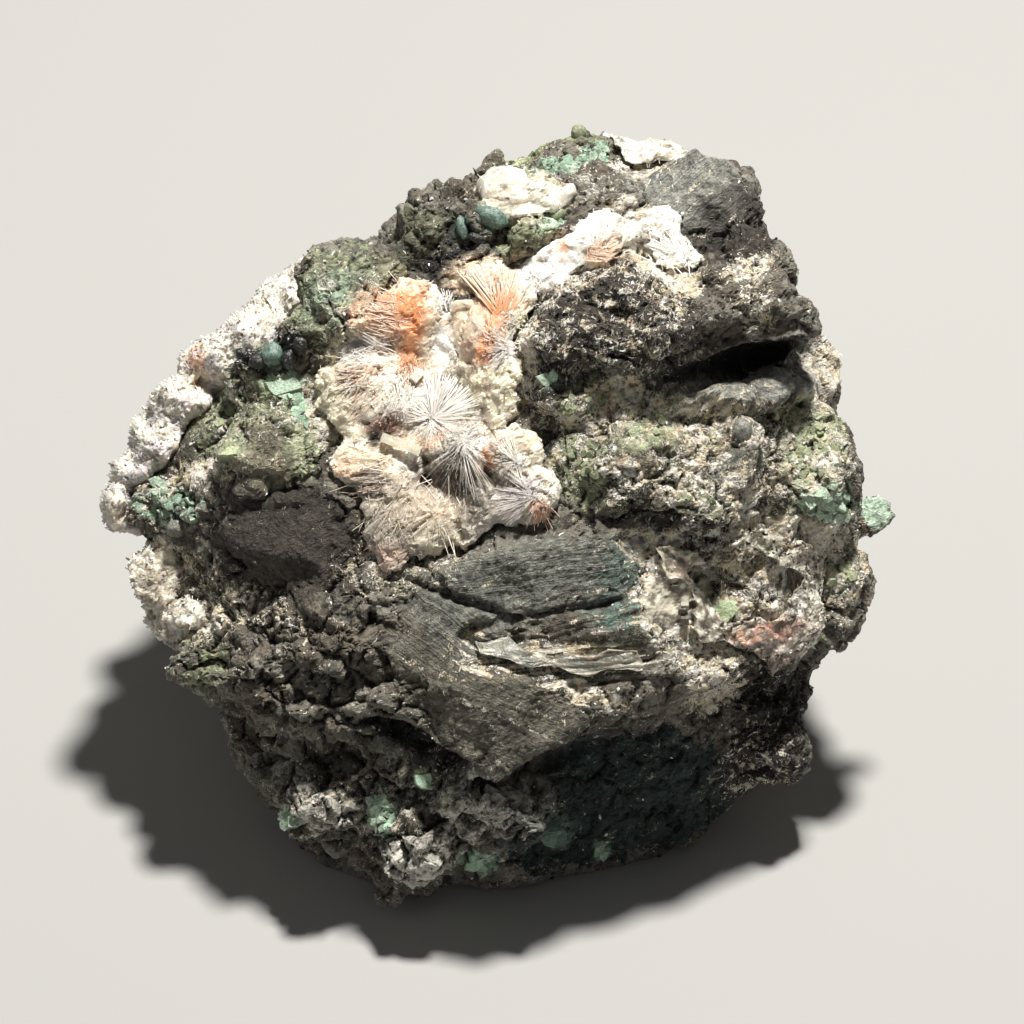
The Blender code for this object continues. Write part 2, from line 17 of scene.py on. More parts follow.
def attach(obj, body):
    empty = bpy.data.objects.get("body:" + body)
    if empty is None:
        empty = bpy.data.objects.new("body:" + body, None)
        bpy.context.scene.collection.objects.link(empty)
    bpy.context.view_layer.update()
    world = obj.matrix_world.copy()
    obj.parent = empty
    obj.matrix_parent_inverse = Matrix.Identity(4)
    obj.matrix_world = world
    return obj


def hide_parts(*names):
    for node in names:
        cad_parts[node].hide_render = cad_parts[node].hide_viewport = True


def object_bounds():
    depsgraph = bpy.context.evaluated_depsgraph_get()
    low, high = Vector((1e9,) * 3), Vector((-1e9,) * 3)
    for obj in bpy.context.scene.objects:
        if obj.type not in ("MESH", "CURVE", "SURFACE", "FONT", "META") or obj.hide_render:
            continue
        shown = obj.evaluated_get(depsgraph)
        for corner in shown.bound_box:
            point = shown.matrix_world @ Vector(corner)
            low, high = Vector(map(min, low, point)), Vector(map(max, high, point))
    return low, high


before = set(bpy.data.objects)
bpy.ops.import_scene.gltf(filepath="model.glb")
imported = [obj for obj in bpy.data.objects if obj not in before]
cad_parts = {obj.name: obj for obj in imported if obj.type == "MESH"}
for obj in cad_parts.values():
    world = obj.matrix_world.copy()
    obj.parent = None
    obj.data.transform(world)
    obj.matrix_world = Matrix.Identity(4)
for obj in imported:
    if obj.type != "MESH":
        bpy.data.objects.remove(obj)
CAD_BOX = [list(corner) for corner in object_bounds()]
noise.seed_set(11)   # or noise_vector() differs from run to run

# Layout, in millimetres and degrees
MM = 0.001
LEAN = math.radians(40.0)          # how far the show face leans back
REST_DROP = 45.0                   # the underside's depth below the face's middle
SHIFT = Vector((-0.844, 1.829, 0.0))  # the CAD's centring of its bounding box
PIXEL = 0.16                       # millimetres a photo pixel on the show face
PHOTO_MIDDLE = (494, 510)          # the pixel of u = v = 0
FRAME_PIXELS = 1024                # the photo's width and height
FAR_OUT = 90.0                     # from how far out of the face rays look for its ground
ROCK_VOXEL = 0.84                  # the rock's grid at the back; half of it on the show face
CRUST_VOXEL = 0.42                 # the crusts' grid
SKIN_FADE = (-16.0, -7.0)          # the show face's skins fade in between these depths w
TINT_FADE = (-15.0, -7.0)          # so do the crusts' colours
CARVED_FADE = (-30.0, -20.0)       # and the carved places

# How many small things lie on the rock
THREADS = 9000
CRUMBS = 6000
FLECKS = 5000

ACROSS = Vector((1, 0, 0))
UP_FACE = Vector((0, math.sin(LEAN), math.cos(LEAN)))
OUT = Vector((0, -math.cos(LEAN), math.sin(LEAN)))
FACE_AXES = np.array((ACROSS, UP_FACE, OUT))


def photo(px, py):
    """(u, v) in mm of a photo pixel."""
    return (px - PHOTO_MIDDLE[0]) * PIXEL, (PHOTO_MIDDLE[1] - py) * PIXEL


def stand(u, v, w):
    """World point, in metres, of a point of the show face in mm."""
    return (ACROSS * u + UP_FACE * v + OUT * w + Vector((0, 0, REST_DROP)) + SHIFT) * MM


def show_coordinates(points):
    """(n, 3) array of u, v, w in mm for an (n, 3) array of world points in metres."""
    return (points / MM - np.array(SHIFT) - np.array((0, 0, REST_DROP))) @ FACE_AXES.T


def stood(uvw):
    """The way back from show_coordinates()."""
    return (uvw @ FACE_AXES + np.array((0, 0, REST_DROP)) + np.array(SHIFT)) * MM


# Colours, linear
TINTS = {
    "olive": (0.185, 0.190, 0.125),
    "moss": (0.270, 0.300, 0.185),
    "lime": (0.420, 0.460, 0.290),
    "mint": (0.360, 0.500, 0.375),
    "pale_mint": (0.520, 0.660, 0.510),
    # Near-black teal: painted shade, the teal face as it looks in the shadow under the lip
    "teal": (0.008, 0.022, 0.020),
    "bean": (0.130, 0.200, 0.165),
    "khaki": (0.235, 0.215, 0.150),
    "brown": (0.150, 0.130, 0.100),
    "dark_brown": (0.052, 0.042, 0.034),
    "slate": (0.180, 0.180, 0.155),
    "pale_slate": (0.300, 0.300, 0.265),
    "pale_grey": (0.520, 0.500, 0.445),
    "slab_brown": (0.138, 0.126, 0.098),
    "leaf": (0.520, 0.620, 0.390),
    "grey": (0.190, 0.190, 0.168),
    "black": (0.022, 0.022, 0.020),
    "cream": (0.860, 0.790, 0.600),
    "white": (0.930, 0.905, 0.860),
    "orange": (0.950, 0.400, 0.180),
    "salmon": (0.940, 0.560, 0.380),
    "peach": (0.940, 0.740, 0.540),
    "beige": (0.680, 0.560, 0.420),
    "taupe": (0.400, 0.350, 0.280),
    "umber": (0.150, 0.080, 0.055),
    "night": (0.030, 0.022, 0.018),
    "lavender": (0.640, 0.585, 0.590),
    "pink": (0.560, 0.310, 0.240),
}

# Skins on the rock, some of them painted shade and light: pixel, half sizes in pixels, turn in degrees, tint,
# how much they cover
SKINS = {
    "knob_top": ((572, 130), (34, 14), -15, "olive", 0.8),
    "knob_left": ((530, 150), (40, 18), 30, "lime", 0.6),
    "mint_crest": ((596, 152), (14, 11), 0, "mint", 0.9),
    "mint_under_crest": ((552, 170), (36, 8), 12, "mint", 0.9),
    "crest_right": ((686, 186), (62, 46), -35, "pale_slate", 1.1),
    "head_right": ((735, 230), (44, 44), 0, "dark_brown", 0.8),
    "head_bean_left": ((463, 232), (10, 13), 0, "bean", 1.0),
    "head_bean_right": ((490, 221), (16, 10), -30, "bean", 1.0),
    "green_boss": ((532, 246), (36, 24), 0, "moss", 0.9),
    "boss_top": ((553, 222), (16, 12), 0, "pale_mint", 0.8),
    "black_lump": ((440, 252), (44, 38), 0, "black", 0.7),
    "black_rim": ((425, 232), (26, 24), 30, "olive", 0.6),
    "shoulder_olive": ((345, 300), (60, 48), 20, "moss", 0.85),
    "shoulder_mint": ((345, 300), (34, 24), 30, "mint", 0.5),
    "shoulder_low": ((380, 290), (24, 36), -20, "khaki", 0.6),
    "shoulder_knobs": ((270, 352), (44, 18), 30, "black", 0.8),
    "teal_knob": ((277, 357), (14, 12), 0, "bean", 1.0),
    "mint_knob": ((222, 384), (13, 11), 0, "pale_mint", 0.9),
    "smooth_mint": ((290, 388), (26, 13), -8, "pale_mint", 1.0),
    "left_field": ((235, 420), (88, 42), 0, "moss", 0.75),
    "khaki_flake": ((272, 458), (36, 32), 10, "khaki", 0.95),
    "flake_moss": ((235, 450), (16, 14), 0, "lime", 0.9),
    "flake_right": ((312, 440), (22, 38), 0, "lime", 0.75),
    "left_dark": ((172, 448), (34, 36), 20, "dark_brown", 0.85),
    "left_moss": ((172, 505), (40, 20), 0, "mint", 0.55),
    "dark_slab": ((295, 540), (76, 56), -5, "dark_brown", 0.95),
    "dark_slab_low": ((250, 600), (60, 36), 0, "brown", 0.8),
    "mint_chip": ((548, 384), (11, 8), 20, "pale_mint", 1.0),
    "dark_pair": ((540, 385), (34, 26), 0, "black", 0.75),
    "boulder": ((610, 325), (92, 62), 0, "dark_brown", 0.75),
    "right_olive": ((640, 460), (90, 56), 0, "olive", 0.6),
    "right_green": ((590, 400), (34, 20), 30, "moss", 0.6),
    "middle_green": ((575, 470), (26, 38), 20, "moss", 0.7),
    "moss_right": ((806, 440), (36, 46), 0, "lime", 1.0),
    "mint_right": ((822, 506), (32, 24), 0, "pale_mint", 0.95),
    "mint_flake": ((876, 512), (16, 20), 0, "pale_mint", 1.0),
    "ledge_top": ((744, 391), (74, 14), 9, "pale_slate", 1.5),
    # Painted shadow: a black band in the groove, where the boulder's shadow falls
    "groove": ((738, 364), (72, 10), 14, "black", 1.2),
    "dark_lump": ((695, 524), (50, 26), 0, "dark_brown", 0.9),
    "pocket": ((716, 588), (34, 22), 0, "dark_brown", 0.95),
    "leaf_green": ((715, 614), (20, 15), 20, "leaf", 1.2),
    "grey_slab": ((535, 580), (105, 42), 8, "slate", 0.95),
    "slab_teal": ((622, 562), (22, 24), 0, "bean", 0.5),
    "striped_slab": ((495, 700), (105, 66), -20, "slab_brown", 1.1),
    # Painted shade: the teal face and the teal below it in near-black teal, as they lie in the shadow under
    # the lip
    "teal_face": ((640, 790), (95, 60), 0, "teal", 1.3),
    "teal_low": ((560, 830), (60, 40), 0, "teal", 1.2),
    "foot_mint_left": ((381, 806), (15, 24), 0, "mint", 0.9),
    "foot_mint_middle": ((424, 771), (12, 8), -20, "moss", 1.0),
    "foot_mint_low": ((290, 815), (16, 10), -20, "pale_mint", 0.9),
    "low_green_a": ((480, 860), (22, 11), 0, "mint", 0.9),
    "low_green_b": ((556, 830), (18, 17), 0, "bean", 0.8),
    "low_green_c": ((602, 850), (9, 12), 0, "mint", 0.8),
    # Painted shade: the low right in near-black, where it lies in shadow; below, a black band of painted
    # shadow under the lip
    "low_right_painted_shade": ((760, 770), (45, 38), 0, "night", 0.9),
    "low_right_dark": ((770, 700), (50, 40), 0, "night", 0.95),
    "lip_shadow": ((420, 744), (66, 12), -24, "black", 1.2),
    # The foot's lumps pale grey, partly their own grey and partly painted light on their lit tops
    "foot_lit": ((420, 850), (36, 28), 0, "pale_grey", 0.8),
    "foot_lumps": ((490, 802), (56, 30), 0, "pale_grey", 0.65),
    "foot_left": ((330, 805), (44, 26), -20, "pale_grey", 0.6),
    "slab_join": ((470, 625), (60, 30), -30, "slate", 0.8),
    "right_khaki": ((690, 430), (60, 30), 0, "khaki", 0.5),
    "right_brown": ((640, 500), (40, 20), 0, "dark_brown", 0.6),
    "rubble_red": ((345, 640), (40, 40), 0, "brown", 0.5),
    "hollow_edge": ((376, 320), (22, 26), 20, "salmon", 1.6),
    "hollow_edge_white": ((358, 350), (28, 18), 20, "cream", 1.6),
    "pillow_ground": ((528, 203), (44, 20), 8, "cream", 1.5),
    "fan_ground": ((492, 284), (38, 22), -10, "peach", 1.5),
    "right_rim": ((824, 372), (24, 44), -20, "pale_grey", 0.95),
    "neck_gap": ((528, 262), (14, 8), 20, "peach", 0.8),
    "field_green_a": ((650, 430), (34, 18), 20, "lime", 0.9),
    "field_green_b": ((700, 500), (34, 14), 0, "lime", 0.7),
    "field_grey": ((735, 470), (30, 26), 0, "grey", 0.6),
    "edge_green": ((838, 575), (16, 20), 0, "lime", 0.6),
    "right_low_green": ((800, 620), (30, 40), 0, "olive", 0.6),
    "left_edge_green": ((140, 560), (16, 30), 0, "olive", 0.7),
    "left_low_green": ((205, 660), (26, 30), 0, "moss", 0.5),
    "slab_green_edge": ((640, 600), (50, 40), 0, "bean", 0.5),
}

# White and cream crust too thin to stand out: pixel, half sizes in pixels, turn, how much it covers
BLOOMS = {
    "head": ((560, 180), (90, 40), 10, 0.34),
    "crown": ((645, 162), (34, 18), 0, 0.75),
    "shoulder_rock": ((340, 300), (60, 46), 20, 0.36),
    "head_right_rim": ((745, 272), (34, 14), 25, 0.75),
    "head_right_edge": ((752, 315), (20, 44), 10, 0.5),
    "white_band": ((652, 252), (26, 58), 38, 1.3),
    "neck_sides": ((560, 272), (72, 34), 30, 0.7),
    "boulder": ((610, 330), (92, 70), 0, 0.37),
    "boulder_rim": ((600, 276), (60, 12), 25, 0.55),
    "under_boulder": ((640, 418), (120, 26), 0, 0.72),
    "right_rim": ((828, 375), (20, 40), -20, 0.95),
    "right_field": ((700, 460), (150, 60), 0, 0.58),
    "field_a": ((605, 400), (34, 16), 20, 1.0),
    "field_b": ((740, 500), (16, 26), 0, 0.9),
    "field_c": ((620, 470), (30, 14), -20, 0.9),
    "field_d": ((690, 470), (20, 14), 0, 0.85),
    "field_right": ((815, 470), (36, 60), 0, 0.62),
    "side_left": ((650, 545), (34, 18), 0, 0.95),
    "side_froth": ((668, 590), (40, 46), -30, 1.15),
    "side_right": ((804, 556), (40, 44), 0, 1.1),
    "side_low": ((700, 655), (40, 26), -20, 0.85),
    "side_high": ((764, 532), (42, 22), 0, 1.0),
    "right_field_left": ((600, 440), (60, 50), 20, 0.55),
    "right_edge": ((842, 560), (30, 70), 8, 0.62),
    "pocket_rim": ((722, 590), (98, 62), 0, 0.72),
    "bright_edge": ((712, 690), (34, 22), 25, 0.75),
    "left_white": ((165, 565), (30, 30), 20, 0.8),
    "left_low_white": ((205, 618), (30, 26), 0, 0.7),
    "left_speck": ((178, 430), (8, 12), 0, 1.0),
    "left_ridge": ((190, 478), (44, 12), 25, 0.85),
    "left_inner": ((150, 480), (30, 60), 0, 0.35),
    "left_field": ((220, 430), (100, 60), 0, 0.42),
    "shoulder_edge": ((250, 340), (90, 20), 42, 0.5),
    "hollow_right": ((512, 370), (30, 66), -8, 0.8),
    "hollow_left": ((335, 410), (30, 40), 0, 0.8),
    "hollow_low": ((400, 560), (70, 34), 0, 0.45),
    "under_dark_slab": ((250, 600), (60, 22), -20, 0.5),
    "vein": ((555, 655), (105, 22), 2, 0.95),
    "vein_low": ((585, 690), (44, 14), -20, 0.85),
    "vein_left": ((476, 645), (16, 26), 0, 0.8),
    "slab_edge": ((640, 625), (80, 26), 15, 0.62),
    "foot": ((440, 800), (110, 40), 0, 0.30),
    "foot_left": ((330, 800), (50, 34), 0, 0.30),
    "low_right_net": ((755, 765), (50, 45), 0, 0.35),
}

# Fracture planes: pixel, half sizes in pixels, turn, the way the striations run in degrees, how deep in mm
PLANES = {
    "grey_slab": ((535, 572), (92, 36), 6, 8, 0.10),
    "grey_slab_layers": ((590, 618), (56, 20), 12, 14, 0.34),
    "slab_join": ((462, 622), (52, 26), -38, -36, 0.12),
    "striped_slab_high": ((432, 645), (44, 34), -35, -36, 0.10),
    "striped_slab": ((500, 704), (84, 46), -24, -22, 0.08),
    "vein_layers": ((560, 655), (110, 30), 4, 5, 0.40),
    "dark_slab": ((290, 540), (62, 42), -6, -30, 0.0),
    "ledge_top": ((744, 391), (76, 15), 9, 10, 0.04),
    "head_face": ((690, 188), (54, 36), -35, 40, 0.06),
    "groove": ((738, 362), (70, 12), 14, 12, 0.0),
    "field_slab_a": ((628, 452), (30, 15), -25, 0, 0.0),
    "field_slab_b": ((738, 466), (24, 18), 30, 0, 0.0),
    "field_slab_c": ((672, 440), (20, 14), 10, 0, 0.0),
    "side_slab": ((770, 560), (16, 28), -10, 0, 0.0),
    "smooth_mint": ((282, 388), (22, 11), -8, 0, 0.0),
    "khaki_flake": ((272, 458), (30, 26), 10, 0, 0.0),
    "flake_moss": ((232, 452), (14, 12), 0, 0, 0.0),
    "left_slab": ((172, 440), (28, 34), 20, 60, 0.10),
    "leaf_green": ((715, 614), (18, 13), 20, 0, 0.0),
    "fan_ground": ((492, 284), (34, 18), -10, 0, 0.0),
    "pillow_ground": ((528, 203), (42, 18), 8, 0, 0.0),
    "mint_flake": ((878, 512), (18, 20), 0, 0, 0.0),
    "right_flake": ((782, 585), (12, 30), -5, 85, 0.1),
    "grey_chunk": ((313, 598), (18, 14), 0, 0, 0.0),
}

# Places raised above the CAD's surface, or carved below 0: pixel, half sizes in pixels, turn, how far in mm
FORMS = {
    "lip_left": ((418, 743), (64, 11), -24, -4.2),
    "lip_right": ((560, 752), (60, 9), 24, -1.6),
    "pocket": ((500, 630), (26, 9), 0, 1.2),
    "shade_flank": ((285, 768), (54, 14), -20, -1.6),
    "foot_lit": ((420, 852), (30, 22), 0, 1.6),
    "foot_lumps": ((495, 800), (46, 22), 0, 1.6),
    "foot_left": ((318, 800), (32, 18), -20, 1.4),
    "under_flake": ((280, 492), (40, 12), 0, 2.2),
    "under_mint": ((285, 406), (26, 5), -8, -1.0),
    "dark_pocket": ((720, 582), (32, 16), 0, -1.8),
    "right_pit_a": ((640, 520), (44, 9), 0, -1.5),
    "right_pit_b": ((770, 520), (9, 30), 0, -1.2),
    "field_pit": ((700, 415), (24, 8), 0, -1.0),
    "slab_step": ((470, 600), (60, 5), -20, -1.2),
    "slab_low_step": ((560, 608), (70, 4), 10, -0.8),
    "groove": ((738, 364), (66, 8), 13, -2.0),
    "ledge": ((744, 396), (68, 15), 9, 3.0),
    "over_groove": ((738, 340), (60, 14), 13, -1.2),
    "hollow_edge": ((372, 330), (20, 30), 10, 0.8),
    "pillow_ground": ((530, 204), (42, 16), 8, 1.0),
    "fan_ground": ((488, 282), (30, 14), -10, 1.2),
    "knob_gap": ((300, 350), (20, 10), 30, -1.0),
}

# How much the surface is broken into clods, beyond the face's usual share: pixel, half sizes, turn, share
CLODS = {
    "rubble": ((300, 670), (130, 90), -20, 1.2),
    "rubble_edge": ((200, 620), (60, 60), 0, 0.9),
    "foot": ((400, 815), (120, 60), 0, 1.35),
    "right_field": ((700, 460), (150, 60), 0, 0.75),
    "right_low": ((800, 640), (60, 80), 0, 0.8),
    "left_edge": ((160, 520), (50, 60), 0, 0.7),
    "shoulder": ((300, 340), (90, 60), 20, 0.6),
    "head": ((470, 200), (90, 60), 0, 0.8),
}
CLOD_USUAL = 0.55


def smooth(low, high, values):
    """0 below low, 1 above high, eased between."""
    t = np.clip((values - low) / (high - low), 0.0, 1.0)
    return t * t * (3 - 2 * t)


def patch_weight(uv, patch, soft=0.4):
    """1 inside a patch of the face, easing to 0 at its rim, for an (n, 2) array of u, v."""
    (px, py), (half_u, half_v), turn = patch[:3]
    angle = math.radians(turn)
    delta = uv - np.array(photo(px, py))
    along = (delta[:, 0] * math.cos(angle) + delta[:, 1] * math.sin(angle)) / (half_u * PIXEL)
    across = (-delta[:, 0] * math.sin(angle) + delta[:, 1] * math.cos(angle)) / (half_v * PIXEL)
    return 1.0 - smooth(1.0 - soft, 1.0 + soft, np.hypot(along, across))


# Meshes as arrays

def coordinates(mesh):
    flat = np.empty(len(mesh.vertices) * 3)
    mesh.vertices.foreach_get("co", flat)
    return flat.reshape(-1, 3)


def normals(mesh):
    flat = np.empty(len(mesh.vertices) * 3)
    mesh.vertices.foreach_get("normal", flat)
    return flat.reshape(-1, 3)


def move_to(mesh, points):
    """Sets the points, kept inside the CAD's box."""
    kept = np.clip(points, np.array(CAD_BOX[0]), np.array(CAD_BOX[1]))
    mesh.vertices.foreach_set("co", kept.astype(np.float32).ravel())
    mesh.update()


def relaxed(mesh, values, rounds):
    """An (n, 3) array of the points' values, each moved halfway to its neighbours' mean, so many times."""
    edges = np.empty(len(mesh.edges) * 2, dtype=np.int32)
    mesh.edges.foreach_get("vertices", edges)
    a, b = edges[0::2], edges[1::2]
    count = len(values)
    neighbours = np.maximum(np.bincount(a, minlength=count) + np.bincount(b, minlength=count), 1)
    for _ in range(rounds):
        total = np.stack([
            np.bincount(a, values[b, k], count) + np.bincount(b, values[a, k], count) for k in range(3)
        ], axis=1)
        values = 0.5 * values + 0.5 * total / neighbours[:, None]
    return values


def soft_normals(mesh, rounds):
    out = relaxed(mesh, normals(mesh), rounds)
    return out / np.maximum(np.linalg.norm(out, axis=1), 1e-9)[:, None]


def hollowness(mesh, rounds):
    """How far each point lies under its relaxed surface, in mm: above 0 in a pit, below 0 on a crest."""
    points = coordinates(mesh)
    return np.einsum("ij,ij->i", relaxed(mesh, points, rounds) - points, normals(mesh)) / MM


def add_floats(mesh, name, values):
    flat = np.asarray(values, dtype=np.float32)
    mesh.attributes.new(name, "FLOAT", "POINT").data.foreach_set("value", flat)


def add_colours(mesh, name, values):
    """Stores an (n, 3) array of linear colours on the points."""
    rgba = np.ones((len(values), 4), dtype=np.float32)
    rgba[:, :3] = np.clip(values, 0, 1)
    mesh.attributes.new(name, "FLOAT_COLOR", "POINT").data.foreach_set("color", rgba.ravel())


def add_vectors(mesh, name, values):
    flat = np.asarray(values, dtype=np.float32).ravel()
    mesh.attributes.new(name, "FLOAT_VECTOR", "POINT").data.foreach_set("vector", flat)


def read_floats(mesh, name):
    values = np.empty(len(mesh.vertices), dtype=np.float32)
    mesh.attributes[name].data.foreach_get("value", values)
    return values


def read_colours(mesh, name):
    values = np.empty(len(mesh.vertices) * 4, dtype=np.float32)
    mesh.attributes[name].data.foreach_get("color", values)
    return values.reshape(-1, 4)[:, :3]


def mesh_of(name, verts, faces):
    """A mesh from an (n, 3) array of points and an (m, 3) array of triangles."""
    mesh = bpy.data.meshes.new(name)
    kept = np.clip(verts, np.array(CAD_BOX[0]), np.array(CAD_BOX[1]))
    mesh.vertices.add(len(verts))
    mesh.vertices.foreach_set("co", kept.astype(np.float32).ravel())
    mesh.loops.add(faces.size)
    mesh.loops.foreach_set("vertex_index", faces.astype(np.int32).ravel())
    mesh.polygons.add(len(faces))
    mesh.polygons.foreach_set("loop_start", np.arange(0, faces.size, 3, dtype=np.int32))
    mesh.update(calc_edges=True)
    mesh.validate()
    mesh.shade_flat()
    return mesh


def place(name, data):
    obj = bpy.data.objects.new(name, data)
    bpy.context.scene.collection.objects.link(obj)
    return obj


def piece_of(name, verts, faces):
    return place(name, mesh_of(name, verts, faces))


def remeshed(source, name, voxel):
    """A copy of a frame node's mesh on a fine even grid."""
    obj = place(name, source.data.copy())
    obj.data.materials.clear()
    remesh = obj.modifiers.new("grid", "REMESH")
    remesh.mode = "VOXEL"
    remesh.voxel_size = voxel * MM
    bpy.context.view_layer.update()
    mesh = bpy.data.meshes.new_from_object(obj.evaluated_get(bpy.context.evaluated_depsgraph_get()))
    obj.modifiers.clear()
    obj.data = mesh
    mesh.name = name
    return obj


def refine_show_face(mesh):
    """Halves the grid of the faces that the show face holds."""
    bm = bmesh.new()
    bm.from_mesh(mesh)
    bm.edges.index_update()
    chosen = set()
    for face in bm.faces:
        if face.normal.dot(OUT) > -0.05 and face.calc_center_median().z > 4 * MM:
            chosen.update(edge.index for edge in face.edges)
    edges = [edge for edge in bm.edges if edge.index in chosen]
    bmesh.ops.subdivide_edges(bm, edges=edges, cuts=1, use_grid_fill=True)
    bm.to_mesh(mesh)
    bm.free()


def cells(place_mm, size):
    """A point's cell: 0 at its border to 1 well inside, its random vector, and the way from its centre."""
    distances, centres = noise.voronoi(place_mm / size)
    inside = min(1.0, (distances[1] - distances[0]) / 0.35)
    own = noise.cell_vector(centres[0] * 50.0) - Vector((0.5, 0.5, 0.5))
    return inside, own, place_mm / size - centres[0]


def tree_of(pieces):
    bm = bmesh.new()
    for piece in pieces:
        bm.from_mesh(piece.data)
    tree = BVHTree.FromBMesh(bm)
    bm.free()
    return tree


def spread_over(mesh, weights, count, rng):
    """So many random spots, more where weights is high: the spots, their normals, a nearby point of each."""
    areas = np.empty(len(mesh.polygons))
    mesh.polygons.foreach_get("area", areas)
    first = np.empty(len(mesh.polygons), dtype=np.int32)
    mesh.polygons.foreach_get("loop_start", first)
    corners = np.empty(len(mesh.loops), dtype=np.int32)
    mesh.loops.foreach_get("vertex_index", corners)
    chance = areas * weights[corners[first]]
    faces = rng.choice(len(areas), size=count, p=chance / chance.sum())
    points, out = coordinates(mesh), normals(mesh)
    a, b, c = (corners[first[faces] + k] for k in range(3))
    mix = rng.dirichlet((1, 1, 1), count)
    return points[a] * mix[:, :1] + points[b] * mix[:, 1:2] + points[c] * mix[:, 2:], out[a], a


# The rock

def rock_heights(uvw, waver, plane, stripe, groove, clods):
    """How far the rock's surface stands out, and each clod's and crumb's own random number, 0 to 1."""
    height = np.empty(len(uvw))
    clod_own = np.empty(len(uvw))
    crumb_own = np.empty(len(uvw))
    for i, p in enumerate(uvw):
        spot = Vector(p)
        bent = spot + 1.3 * Vector(waver[i])
        rough = clods[i]
        inside, own, offset = cells(bent + Vector((3, 1, 8)), 5.0)
        lump = 1.3 * own.x + 2.6 * offset.dot(own) - 0.9 * (1 - inside)
        inside, own, offset = cells(bent, 2.2)
        clod = 0.6 * own.y + 1.5 * offset.dot(own) - 0.45 * max(0.0, 1 - 3 * inside)
        clod_own[i] = own.z + 0.5
        inside, own, offset = cells(spot + 0.3 * Vector(waver[i]) + Vector((7, 2, 2)), 0.95)
        crumb = 0.4 * own.y + 0.7 * offset.dot(own)
        crumb_own[i] = own.z + 0.5
        crag = 0.9 * noise.noise(spot / 3.2) + 0.5 * noise.noise(spot / 1.5)
        broken = rough * (0.95 * lump + 0.8 * clod + crag) + (0.24 + 0.12 * rough) * crumb
        calm = plane[i]
        grain = 0.16 * noise.noise(spot / 0.8) + 0.12 * calm * (noise.noise(spot / 0.42) + crumb)
        height[i] = (1.0 - 0.94 * calm) * broken + grain
        if calm > 0.02 and groove[i] > 0:
            wide = noise.noise(Vector((p[0] * 0.10, stripe[i] / 1.3, 3.0)))
            narrow = noise.noise(Vector((p[0] * 0.15, stripe[i] / 0.8, 1.0)))
            height[i] += calm * groove[i] * 1.5 * (wide + narrow)
    return height, clod_own, crumb_own


def rock_piece():
    """The rock on a fine grid, broken into clods and crumbs, with all that its material reads."""
    rock = remeshed(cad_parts["basalt_matrix"], "basalt_rock", ROCK_VOXEL)
    refine_show_face(rock.data)
    mesh = rock.data
    points = coordinates(mesh)
    out = soft_normals(mesh, 8)
    uvw = show_coordinates(points)
    facing = out @ np.array(OUT)
    front = smooth(-0.35, 0.05, facing) * smooth(*SKIN_FADE, uvw[:, 2])

    # Waver the patches' rims
    waver = np.array([noise.noise_vector(Vector(p) / 3.5) for p in uvw])
    fret = np.array([noise.noise_vector(Vector(p) / 1.3) for p in uvw])
    frayed = 1.9 * waver[:, :2] + 0.8 * fret[:, :2]

    def weight_of(patch, soft=0.4):
        return patch_weight(uvw[:, :2] + min(1.0, min(patch[1]) / 28.0) * frayed, patch, soft)

    plane = np.zeros(len(points))
    stripe = np.zeros(len(points))
    groove = np.zeros(len(points))
    for patch in PLANES.values():
        weight = weight_of(patch, 0.25) * front
        angle = math.radians(patch[3])
        across = -uvw[:, 0] * math.sin(angle) + uvw[:, 1] * math.cos(angle) + 0.4 * waver[:, 2]
        take = weight > plane
        stripe = np.where(take, across, stripe)
        groove = np.where(take, patch[4], groove)
        plane = np.maximum(plane, weight)
    clods = np.full(len(points), CLOD_USUAL)
    for patch in CLODS.values():
        weight = weight_of(patch) * front
        clods = clods * (1 - weight) + patch[3] * weight

    height, clod_own, crumb_own = rock_heights(uvw, waver, plane, stripe, groove, clods)
    outward, shallow = smooth(-0.6, -0.1, facing), smooth(*CARVED_FADE, uvw[:, 2])
    for patch in FORMS.values():
        height += weight_of(patch, 0.5) * patch[3] * outward * shallow
    base = smooth(0.2, 2.2, points[:, 2] / MM)
    move_to(mesh, points + out * (height * base * MM)[:, None])
    # How deep each point lies in a pit, for the painted shade that darkens pits
    pit = hollowness(mesh, 3) * 2.2 + hollowness(mesh, 14)

    colour = np.zeros((len(points), 3))
    cover = np.zeros(len(points))
    for patch in SKINS.values():
        weight = weight_of(patch) * patch[4] * front
        mix = (weight / np.maximum(weight + cover * (1 - weight), 1e-6))[:, None]
        colour = colour * (1 - mix) + np.array(TINTS[patch[3]]) * mix
        cover = cover + weight * (1 - cover)
    bloom = np.zeros(len(points))
    for patch in BLOOMS.values():
        bloom = np.maximum(bloom, weight_of(patch) * patch[3] * front)

    # The back and underside have skins of their own
    back = 1 - front
    back_green = np.array([noise.noise(Vector(p) / 16.0 + Vector((9, 2, 4))) for p in uvw])
    back_white = np.array([noise.noise(Vector(p) / 11.0 + Vector((1, 7, 3))) for p in uvw])
    green = smooth(0.0, 0.35, back_green) * 0.75 * back
    mix = (green / np.maximum(green + cover, 1e-6))[:, None]
    colour = colour * (1 - mix) + np.array(TINTS["moss"]) * mix
    cover = np.maximum(cover, green)
    bloom = np.maximum(bloom, smooth(0.0, 0.4, back_white) * 0.65 * back)
    teal = np.maximum(weight_of(SKINS["teal_face"]), weight_of(SKINS["teal_low"])) * front
    bloom = np.maximum(bloom, 0.14 * (1 - teal))

    add_colours(mesh, "tint", colour)
    floats = {
        "cover": cover, "bloom": bloom, "plane": plane, "lined": plane * (groove > 0), "stripe": stripe,
        "pit": pit, "clod": clod_own, "crumb": crumb_own,
    }
    for name, values in floats.items():
        add_floats(mesh, name, values)
    return rock


